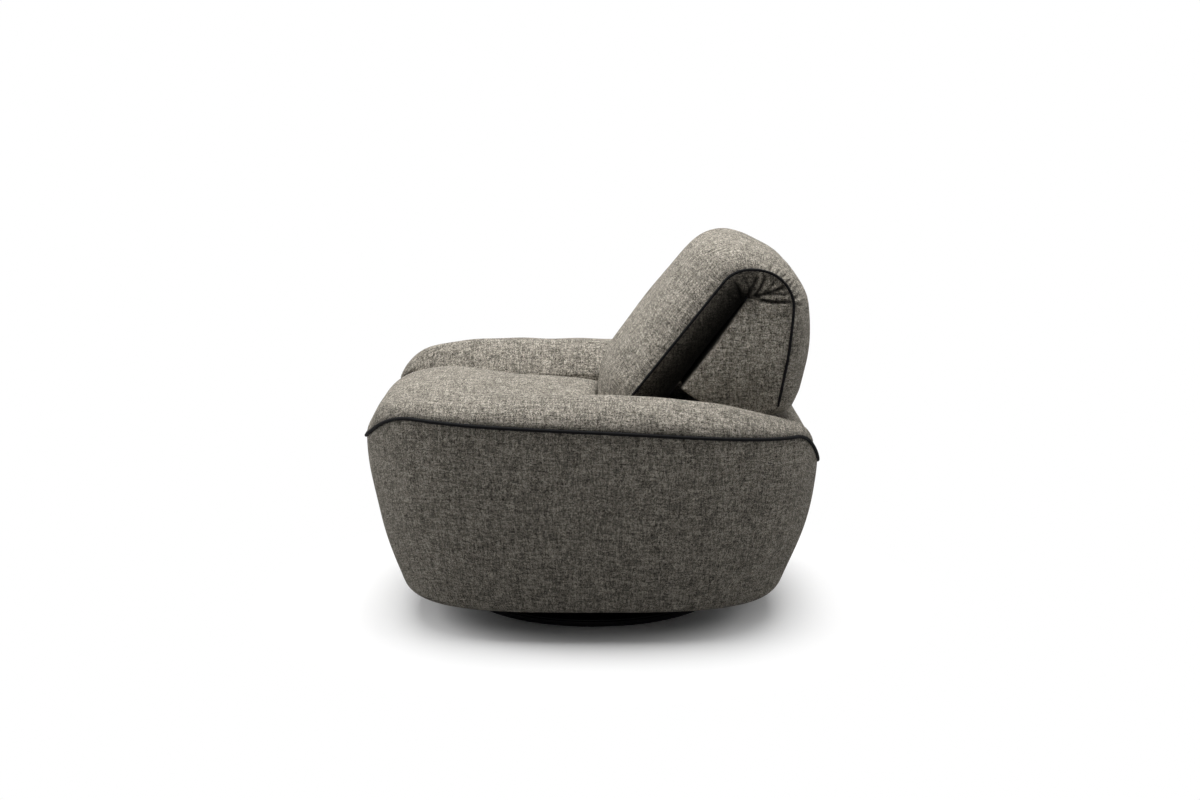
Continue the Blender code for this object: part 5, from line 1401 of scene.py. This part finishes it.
slab_foot = (seat_low - HINGE.z - BACK_OUT.z * (BACK_EDGE - SIDE_BAND_FOOT)) / BACK_UP.z
back_rows = []
for k in range(SLAB_ROWS):
    up = slab_foot * (1 - k / SLAB_ROWS)
    edge = HINGE + BACK_UP * up + BACK_OUT * BACK_EDGE
    band = np.interp(up, (slab_foot, 0), (SIDE_BAND_FOOT, SIDE_BAND_TOP))
    back_rows.append(back_ring(edge, BACK_OUT, lambda x: slab_crown(x, up), edge - BACK_OUT * band,
                               lambda depth: SLAB_TUCK * drawn_under(depth)))
slab_throat = HINGE + BACK_OUT * (BACK_EDGE - SIDE_BAND_TOP)
rest_throat = HINGE - REST_OUT * REST_INNER_START
for k in range(FOLD_ROWS):
    share = k / FOLD_ROWS
    turn = FOLD_START + (FOLD_END - FOLD_START) * share
    way = Vector((0, math.cos(turn), math.sin(turn)))
    tuck = np.interp(share, *FOLD_TUCKS)
    folded = min(1, share / FOLD_DRAWN_SHARE)
    edge = HINGE + way * fold_reach(way)
    back_rows.append(back_ring(edge, way, lambda x: crown_at(x, fold_crown(share)),
                               slab_throat.lerp(rest_throat, share),
                               lambda depth: tuck * drawn_under(depth, folded)))
rest_downs = [REST_ROUND_START * k / REST_ROWS for k in range(REST_ROWS)]
rest_rounding = REST_LENGTH - REST_TIP - REST_ROUND_START
for k in range(REST_END_ROWS + 1):
    rest_downs.append(REST_ROUND_START + rest_rounding * math.sin(math.pi / 2 * k / REST_END_ROWS))
for down in rest_downs:
    inner = -REST_INNER_START - REST_WEDGE_SHARE * down
    low = max(inner, -max(0, REST_BASE_RADIUS ** 2 - down ** 2) ** 0.5)
    share = max(0, (down - REST_ROUND_START) / (REST_LENGTH - REST_ROUND_START))
    fullness = math.sqrt(1 - share ** 2)
    high = REST_ROUND_CENTRE + (rest_edge(down) - REST_ROUND_CENTRE) * fullness
    if down > REST_CORNER_START:
        corner = (down - REST_CORNER_START) / (REST_LENGTH - REST_CORNER_START)
        low = max(low, REST_ROUND_CENTRE - (REST_ROUND_CENTRE - inner) * math.sqrt(1 - corner ** 2))
    belly = REST_BELLY * math.sin(math.pi / 2 * min(1, down / REST_BELLY_DOWN))
    crown = (FOLD_CROWNS[-1] + belly) * fullness
    middle = HINGE + REST_DOWN * down
    back_rows.append(back_ring(middle + REST_OUT * high, REST_OUT, lambda x: crown_at(x, crown),
                               middle + REST_OUT * low, lambda depth: rest_tuck(depth, down)))
back_rows = np.array(back_rows)
face_end = GUSSET_STEPS + FACE_STEPS
gusset_columns = {*range(GUSSET_STEPS), *range(face_end, face_end + GUSSET_STEPS)}
back_tweed = tweed_finish("back_tweed", shaded=True)
back = cloth_skin("back", back_rows, back_tweed, centre=BACK_CENTRE, flat=gusset_columns)
row_numbers = back.data.attributes.new("row", "FLOAT", "POINT")
every_row = np.arange(len(back_rows), dtype=np.float32)
row_numbers.data.foreach_set("value", np.repeat(every_row, back_rows.shape[1]))
rest_row = SLAB_ROWS + FOLD_ROWS
shade = np.ones(back_rows.shape[:2], np.float32)
# painted shade on the slab's gussets, darkest towards the V between slab and headrest
inward = np.interp(range(face_end + GUSSET_STEPS + 1), GUSSET_SHADE_STEPS, GUSSET_SHADES)
inward = np.minimum(inward, inward[::-1])
deep_rows = (0, SLAB_ROWS, SLAB_ROWS + GUSSET_SHADE_FOLD * FOLD_ROWS)
deep = np.interp(range(len(back_rows)), deep_rows, (1, 1, 0))
shade[:, :len(inward)] -= (1 - inward) * deep[:, None]
# painted shade deep in the throat of the fold
throat = np.interp(range(len(inward)), (0, THROAT_STEPS), (THROAT_SHADE, 1))
throat = np.minimum(throat, throat[::-1])
folded_rows = (SLAB_ROWS, SLAB_ROWS + THROAT_FOLD * FOLD_ROWS, rest_row)
folded = np.interp(range(len(back_rows)), folded_rows, (1, 1, 0))
shade[SLAB_ROWS:, :len(inward)] *= (1 - (1 - throat) * folded[:, None])[SLAB_ROWS:]
# painted shade, deeper towards the slab's foot
foot = np.interp(range(SLAB_ROWS), (GUSSET_FOOT_SHARE * SLAB_ROWS, SLAB_ROWS), (GUSSET_FOOT_SHADE, 1))
shade[:SLAB_ROWS] *= foot[:, None]
# painted light: the headrest's gussets are lightened
shade[rest_row:, :len(inward)] = REST_GUSSET_PAINTED_LIGHT
shade[:, GUSSET_STEPS:face_end + 1] = 1
# painted shade: the inner faces of slab, fold and headrest are painted near black
shade[:, len(inward):] = INNER_PAINTED_SHADE
# painted contact shadow along the headrest's foot
shade[-FOOT_SHADE_ROWS:] *= np.linspace(1, FOOT_SHADE, FOOT_SHADE_ROWS)[:, None]
shade_numbers = back.data.attributes.new("shade", "FLOAT", "POINT")
shade_numbers.data.foreach_set("value", shade.ravel())
held = np.zeros(back_rows.shape[:2], bool)
held[:, [0, GUSSET_STEPS, face_end]] = True
held[:, face_end + GUSSET_STEPS:] = True
held[:SLAB_ROWS, :GUSSET_STEPS] = True
held[:SLAB_ROWS, face_end:] = True
held[:BACK_HELD_ROWS] = True
plump(back, held.ravel(), BACK_PRESSURE, BACK_CAP)


def gathers(places):
    """How far the gussets are drawn in round the fold: narrow creases that run out from the throat.

    Each crease is given in millimetres, as two ends in YZ from the hinge line, a width and a depth.
    """
    y = (places[:, 1] - HINGE.y) * MM_PER_METRE
    z = (places[:, 2] - HINGE.z) * MM_PER_METRE
    drawn = np.zeros(len(places))
    for y0, z0, y1, z1, width, depth in CREASES:
        length = math.hypot(y1 - y0, z1 - z0)
        along = np.array((y1 - y0, z1 - z0)) / length
        run = (y - y0) * along[0] + (z - z0) * along[1]
        share = np.clip(run / length, 0, 1)
        bow = CREASE_BOW * np.sin(np.pi * share * CREASE_BOW_TURN + y0)
        off = (y - y0) * -along[1] + (z - z0) * along[0] - bow
        beyond = np.abs(run - share * length)
        cut = (1 + CREASE_PUFF) * np.exp(-(off / width) ** 2)
        cut -= CREASE_PUFF * np.exp(-(off / (CREASE_PUFF_WIDTH * width)) ** 2)
        drawn += depth / MM_PER_METRE * cut * (1 - CREASE_FADE * share) * np.exp(-(beyond / CREASE_END) ** 2)
    return drawn


refine(back)
places, ways = places_of(back.data), ways_of(back.data)
relative = places - np.array(HINGE)
reach = np.hypot(relative[:, 1], relative[:, 2])
turn = np.degrees(np.arctan2(relative[:, 2], relative[:, 1]))
edge_reach = np.array([fold_reach(Vector((0, math.cos(t), math.sin(t)))) for t in np.radians(turn)])
side = np.sign(places[:, 0])
in_gusset = (np.abs(ways[:, 0]) > GATHER_FACING) & (np.abs(places[:, 0]) > BACK_HALF_WIDTH - GATHER_SIDE)
near_fold = np.clip((GATHER_REACH - reach) / GATHER_FADE, 0, 1)
inside_edge = np.clip((edge_reach - reach) / GATHER_EDGE, 0, 1)
drawn = gathers(places) * in_gusset * near_fold * inside_edge
places[:, 0] -= side * drawn
painted_shade_values = np.empty(len(places), np.float32)
back.data.attributes["shade"].data.foreach_get("value", painted_shade_values)
# painted shade in the creases of the gathers and painted highlight on the puffs between them
creased = CREASE_SHADE * np.clip(drawn / CREASE_SHADE_DEPTH, 0, 1)
painted_shade_values *= 1 - creased + PUFF_PAINTED_LIGHT * np.clip(-drawn / PUFF_SHADE_HEIGHT, 0, 1)
lift = BACK_WAVE_HEIGHT * unevenness(places, BACK_WAVE, BACK_WAVE_SEED) * (1 - in_gusset * GUSSET_CALM)
from_edge = np.clip(BACK_HALF_WIDTH - np.abs(places[:, 0]), 0, 1)
on_fold = (turn > RIPPLE_FIRST) & (turn < RIPPLE_LAST) & (reach > edge_reach)
wander = RIPPLE_WANDER * unevenness(places, RIPPLE_WANDER_WAVE, RIPPLE_SEED)
for angle, width in RIPPLES:
    dip = np.exp(-((turn - angle - wander) / width) ** 2) * np.exp(-from_edge / RIPPLE_REACH)
    lift -= RIPPLE_DEPTH * dip * on_fold
    # painted shade in the ripples over the fold
    painted_shade_values *= 1 - RIPPLE_SHADE * dip * on_fold
back.data.attributes["shade"].data.foreach_set("value", painted_shade_values)
rim = np.clip(np.abs(np.abs(places[:, 0]) - BACK_HALF_WIDTH) / BACK_RIM, 0, 1)
settle(back, places + ways * (lift * np.maximum(rim, on_fold * 0.5))[:, None])


def cut_length(piece, name, first, last):
    """Part of the refined back between two rows, closed inside, with the shading of the whole kept."""
    mesh = piece.data
    rows = np.empty(len(mesh.vertices), np.float32)
    mesh.attributes["row"].data.foreach_get("value", rows)
    kept = (rows > first - ROW_SLACK) & (rows < last + ROW_SLACK)
    shape = bmesh.new()
    shape.from_mesh(mesh)
    spare = [point for point, keep in zip(shape.verts, kept) if not keep]
    bmesh.ops.delete(shape, geom=spare, context="VERTS")
    bmesh.ops.holes_fill(shape, edges=[edge for edge in shape.edges if edge.is_boundary], sides=0)
    part_mesh = bpy.data.meshes.new(name)
    shape.to_mesh(part_mesh)
    shape.free()
    part_mesh.shade_smooth()
    part_mesh.normals_split_custom_set_from_vertices(ways_of(mesh)[kept].tolist())
    part = bpy.data.objects.new(name, part_mesh)
    bpy.context.scene.collection.objects.link(part)
    part_mesh.materials.append(back_tweed)
    return part


slab = cut_length(back, "back_slab", 0, SLAB_ROWS)
fold = cut_length(back, "back_fold", SLAB_ROWS, rest_row)
rest = cut_length(back, "headrest", rest_row, len(back_rows))
bpy.data.objects.remove(back)
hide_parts("back_cushion", "back_rear_pad")
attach(slab, "tub")
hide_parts("fold_cushion")
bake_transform(fold)
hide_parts("headrest_cushion", "headrest_inner_pad")
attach(rest, "headrest")


# Piping of the back
# Black cloth sewn round a cord, caught in the seam between the face and each gusset. It runs from
# the seat up the slab, over the fold and down the headrest, and is let in just before its foot.

BACK_CORD_RADIUS = 0.0027
BACK_CORD_OUT = 0.0016
CORD_FACETS = 14
CORD_SINK = 0.008
CORD_SINK_STEPS = 8
SLAB_CORD_STEPS = 60
FOLD_CORD_STEPS = 80
REST_CORD_STEPS = 40
SLAB_CORD_FOOT = -0.330
REST_CORD_FOOT = 0.208
PIPING_COLOUR = (0.0035, 0.0035, 0.0040)
PIPING_PALE = (0.0110, 0.0110, 0.0122)
PIPING_STOPS = ((0.35, PIPING_COLOUR), (0.68, PIPING_PALE))
PIPING_ROUGHNESS = 0.72
PIPING_SHINE = 0.12
PIPING_TWILL = 1500.0
PIPING_DETAIL = 2.0
PIPING_DEPTH = 0.0002


def piping_finish(name):
    """Fine black twill, its threads just lighter where they catch the light."""
    finish, tree, shader = start_finish(name, PIPING_ROUGHNESS)
    place = place_on(tree)
    threads = cloud(tree, place, PIPING_TWILL, PIPING_DETAIL)
    tint(tree, shader, threads, PIPING_STOPS)
    raise_grain(tree, shader, threads, PIPING_DEPTH)
    shader.inputs["Specular IOR Level"].default_value = PIPING_SHINE
    return finish


def cord_rows(path, sides, radius):
    """Rings round a path, given the direction at each point that faces out of the seam."""
    rows = []
    for k, (point, side) in enumerate(zip(path, sides)):
        ahead = path[min(k + 1, len(path) - 1)] - path[max(k - 1, 0)]
        across = ahead.cross(side).normalized()
        out = across.cross(ahead).normalized()
        turns = [math.tau * n / CORD_FACETS for n in range(CORD_FACETS)]
        rows.append([point + (out * math.cos(t) + across * math.sin(t)) * radius for t in turns])
    return rows


piping = piping_finish("piping_twill")
for side, sign in (("left", 1), ("right", -1)):
    across = Vector((sign, 0, 0))
    slab_path = []
    for k in range(SLAB_CORD_STEPS + 1):
        up = SLAB_CORD_FOOT * (1 - k / SLAB_CORD_STEPS)
        slab_path.append(HINGE + BACK_UP * up + BACK_OUT * BACK_EDGE)
    fold_path = []
    for k in range(FOLD_CORD_STEPS + 1):
        turn = FOLD_START + (FOLD_END - FOLD_START) * k / FOLD_CORD_STEPS
        way = Vector((0, math.cos(turn), math.sin(turn)))
        fold_path.append(HINGE + way * fold_reach(way))
    rest_path = []
    for k in range(REST_CORD_STEPS + 1):
        down = REST_CORD_FOOT * k / REST_CORD_STEPS
        sunk = max(0, (k - REST_CORD_STEPS) / CORD_SINK_STEPS + 1) ** 2
        rest_path.append(HINGE + REST_DOWN * down + REST_OUT * rest_edge(down) - across * CORD_SINK * sunk)
    lengths = (("back", slab_path, "tub"), ("fold", fold_path, None), ("headrest", rest_path, "headrest"))
    for place_name, path, body in lengths:
        laid = [point + across * (BACK_HALF_WIDTH + BACK_CORD_OUT) for point in path]
        rows = cord_rows(laid, [across] * len(laid), BACK_CORD_RADIUS)
        cord = cloth_skin(f"{place_name}_cord_{side}", rows, piping)
        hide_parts(f"{place_name}_piping_{side}")
        if body:
            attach(cord, body)
        else:
            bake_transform(cord)


# Piping round the tub
# The same black piping, thicker, in the seam between the cover and the pads above it, with a line
# of small stitches just over it that holds the pads.

TUB_CORD_RADIUS = 0.0034
TUB_CORD_STAND = 0.0016
TUB_CORD_POINTS = 420
STITCH_UP = 0.0085
STITCH_PITCH = 0.0062
STITCH_LENGTH = 0.0040
STITCH_RADIUS = 0.00042
STITCH_STAND = 0.3
STITCH_SEARCH = 0.03
THREAD_COLOUR = (0.240, 0.225, 0.190)
THREAD_DARK_SHARE = 0.6
THREAD_DARK_AT = 0.35
THREAD_PALE_AT = 0.65
THREAD_ROUGHNESS = 0.6
THREAD_TWIST = 2600.0
THREAD_DETAIL = 1.0
THREAD_DEPTH = 0.0001


def thread_finish(name):
    """Twisted thread, darker where its strands part."""
    finish, tree, shader = start_finish(name, THREAD_ROUGHNESS)
    place = place_on(tree)
    twist = cloud(tree, place, THREAD_TWIST, THREAD_DETAIL)
    darker = tuple(THREAD_DARK_SHARE * c for c in THREAD_COLOUR)
    tint(tree, shader, twist, ((THREAD_DARK_AT, darker), (THREAD_PALE_AT, THREAD_COLOUR)))
    raise_grain(tree, shader, twist, THREAD_DEPTH)
    return finish


cord_path, cord_outs = [], []
for k in range(TUB_CORD_POINTS):
    turn = math.tau * k / TUB_CORD_POINTS
    x, y = round_plan(turn, TUB_HALF_WIDTH, TUB_HALF_DEPTH)
    steep_x = abs(x / TUB_HALF_WIDTH) ** (PLAN_POWER - 1) / TUB_HALF_WIDTH
    steep_y = abs(y / TUB_HALF_DEPTH) ** (PLAN_POWER - 1) / TUB_HALF_DEPTH
    out = Vector((math.copysign(steep_x, x), math.copysign(steep_y, y), 0)).normalized()
    cord_path.append(Vector((x, y, seam_z(y) + SEAM_FLANGE / 2)) + out * TUB_CORD_STAND)
    cord_outs.append(out)
rows = []
for k, (point, out) in enumerate(zip(cord_path, cord_outs)):
    ahead = (cord_path[(k + 1) % TUB_CORD_POINTS] - cord_path[k - 1]).normalized()
    up = out.cross(ahead).normalized()
    turns = [math.tau * n / CORD_FACETS for n in range(CORD_FACETS)]
    rows.append([point + (out * math.cos(t) + up * math.sin(t)) * TUB_CORD_RADIUS for t in turns])
tub_cord = cloth_skin("tub_cord", rows, piping, loop=True)
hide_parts("seam_piping")
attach(tub_cord, "tub")
pads = []
for pad in (bpy.data.objects["arm_cushion_left"], bpy.data.objects["arm_cushion_right"], seat, rear):
    corners = [point.co for point in pad.data.vertices]
    pads.append(BVHTree.FromPolygons(corners, [face.vertices for face in pad.data.polygons]))
stitch_path, stitch_outs = [], []
for point, out in zip(cord_path + cord_path[:1], cord_outs + cord_outs[:1]):
    start = point + Vector((0, 0, STITCH_UP)) + out * STITCH_SEARCH
    hits = [pad.ray_cast(start, -out, 2 * STITCH_SEARCH) for pad in pads]
    hits = [hit for hit in hits if hit[0] is not None]
    if hits:
        spot, facing = min(hits, key=lambda hit: hit[3])[:2]
        facing = facing if facing.dot(out) > 0 else -facing
        stitch_path.append(spot + facing * STITCH_RADIUS * STITCH_STAND)
        stitch_outs.append(facing)
stitches = lay_wires("tub_stitches", stitch_path, stitch_outs, thread_finish("thread"), STITCH_PITCH,
                     STITCH_RADIUS, STITCH_LENGTH)
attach(stitches, "tub")


# Headrest hinges
# Black-passivated zinc-plated ratchet hinges inside the padding: a toothed eye on each fixed arm, a
# fork round it and a shouldered pin. They hold the headrest folded down, or at any tooth above.

BLACK_ZINC_COLOUR = (0.030, 0.030, 0.034)
BLACK_ZINC_DULL = (0.012, 0.012, 0.014)
BLACK_ZINC_ROUGHNESS = 0.42

black_zinc = metal_finish("black_zinc", BLACK_ZINC_COLOUR, BLACK_ZINC_DULL, BLACK_ZINC_ROUGHNESS, ZINC_FLAKE)
for side in ("left", "right"):
    for hinge_part in ("arm", "fork", "pin"):
        refinish(black_zinc, f"headrest_hinge_{hinge_part}_{side}")


# Studio
# A pale floor that keeps the chair's shadow, a wide lamp overhead, softer ones before and behind
# the chair, and a camera level with the seat's side.

FLOOR_HALF = 9.0
FLOOR_COLOUR = (0.97, 0.97, 0.97)
FLOOR_BOUNCE = (0.30, 0.30, 0.30)
FLOOR_ROUGHNESS = 0.9
FLOOR_FADE = (0.30, 0.74)
ROOM_LEVEL = 0.14
CAMERA_PLACE = (3.775, 0.0155, 1.116)
CAMERA_PITCH = 10.45
CAMERA_LENS = 54.0
CAMERA_SENSOR = 36.0
LAMP_AIM = Vector((0, 0, 0.35))
LAMPS = (("overhead", (-0.3, 0.0, 3.4), 3.6, 232.0), ("front_lamp", (-0.3, -3.4, 1.9), 2.2, 60.0),
         ("rear_lamp", (-0.6, 3.6, 1.7), 2.2, 34.0), ("side_lamp", (3.6, -0.6, 2.2), 2.0, 9.0))

floor_mesh = bpy.data.meshes.new("studio_floor")
corners = [(x * FLOOR_HALF, y * FLOOR_HALF, 0) for x, y in ((-1, -1), (1, -1), (1, 1), (-1, 1))]
floor_mesh.from_pydata(corners, [], [(0, 1, 2, 3)])
studio_floor = bpy.data.objects.new("studio_floor", floor_mesh)
bpy.context.scene.collection.objects.link(studio_floor)
floor_finish, tree, shader = start_finish("studio_floor", FLOOR_ROUGHNESS)
shader.inputs["Specular IOR Level"].default_value = 0
seen = tree.nodes.new("ShaderNodeLightPath").outputs["Is Camera Ray"]
floor_mix = tree.nodes.new("ShaderNodeMix")
floor_mix.data_type = "RGBA"
floor_mix.inputs["A"].default_value = (*FLOOR_BOUNCE, 1)
floor_mix.inputs["B"].default_value = (*FLOOR_COLOUR, 1)
tree.links.new(seen, floor_mix.inputs["Factor"])
tree.links.new(floor_mix.outputs["Result"], shader.inputs["Base Color"])
distance = tree.nodes.new("ShaderNodeVectorMath")
distance.operation = "LENGTH"
tree.links.new(place_on(tree), distance.inputs[0])
fade = tree.nodes.new("ShaderNodeMapRange")
fade.interpolation_type = "SMOOTHSTEP"
fade.inputs["From Min"].default_value, fade.inputs["From Max"].default_value = FLOOR_FADE
tree.links.new(distance.outputs["Value"], fade.inputs["Value"])
white = tree.nodes.new("ShaderNodeEmission")
far_floor = tree.nodes.new("ShaderNodeMixShader")
tree.links.new(arithmetic(tree, "MULTIPLY", fade.outputs["Result"], seen), far_floor.inputs["Fac"])
tree.links.new(shader.outputs["BSDF"], far_floor.inputs[1])
tree.links.new(white.outputs["Emission"], far_floor.inputs[2])
tree.links.new(far_floor.outputs["Shader"], tree.nodes["Material Output"].inputs["Surface"])
floor_mesh.materials.append(floor_finish)

world = bpy.data.worlds.new("studio")
bpy.context.scene.world = world
world.use_nodes = True
tree = world.node_tree
backdrop = tree.nodes["Background"]
seen = tree.nodes.new("ShaderNodeLightPath").outputs["Is Camera Ray"]
tree.links.new(spread_range(tree, seen, ROOM_LEVEL, 1), backdrop.inputs["Strength"])
backdrop.inputs["Color"].default_value = (1, 1, 1, 1)

for name, place, size, power in LAMPS:
    lamp = bpy.data.lights.new(name, "AREA")
    lamp.shape, lamp.size, lamp.energy = "SQUARE", size, power
    stand = bpy.data.objects.new(name, lamp)
    stand.location = place
    stand.rotation_euler = (LAMP_AIM - Vector(place)).to_track_quat("-Z", "Y").to_euler()
    bpy.context.scene.collection.objects.link(stand)

lens = bpy.data.cameras.new("camera")
lens.lens, lens.sensor_width = CAMERA_LENS, CAMERA_SENSOR
camera = bpy.data.objects.new("camera", lens)
camera.location = CAMERA_PLACE
camera.rotation_euler = (math.radians(90 - CAMERA_PITCH), 0, math.radians(90))
bpy.context.scene.collection.objects.link(camera)
bpy.context.scene.camera = camera
bpy.context.scene.view_settings.view_transform = "Standard"
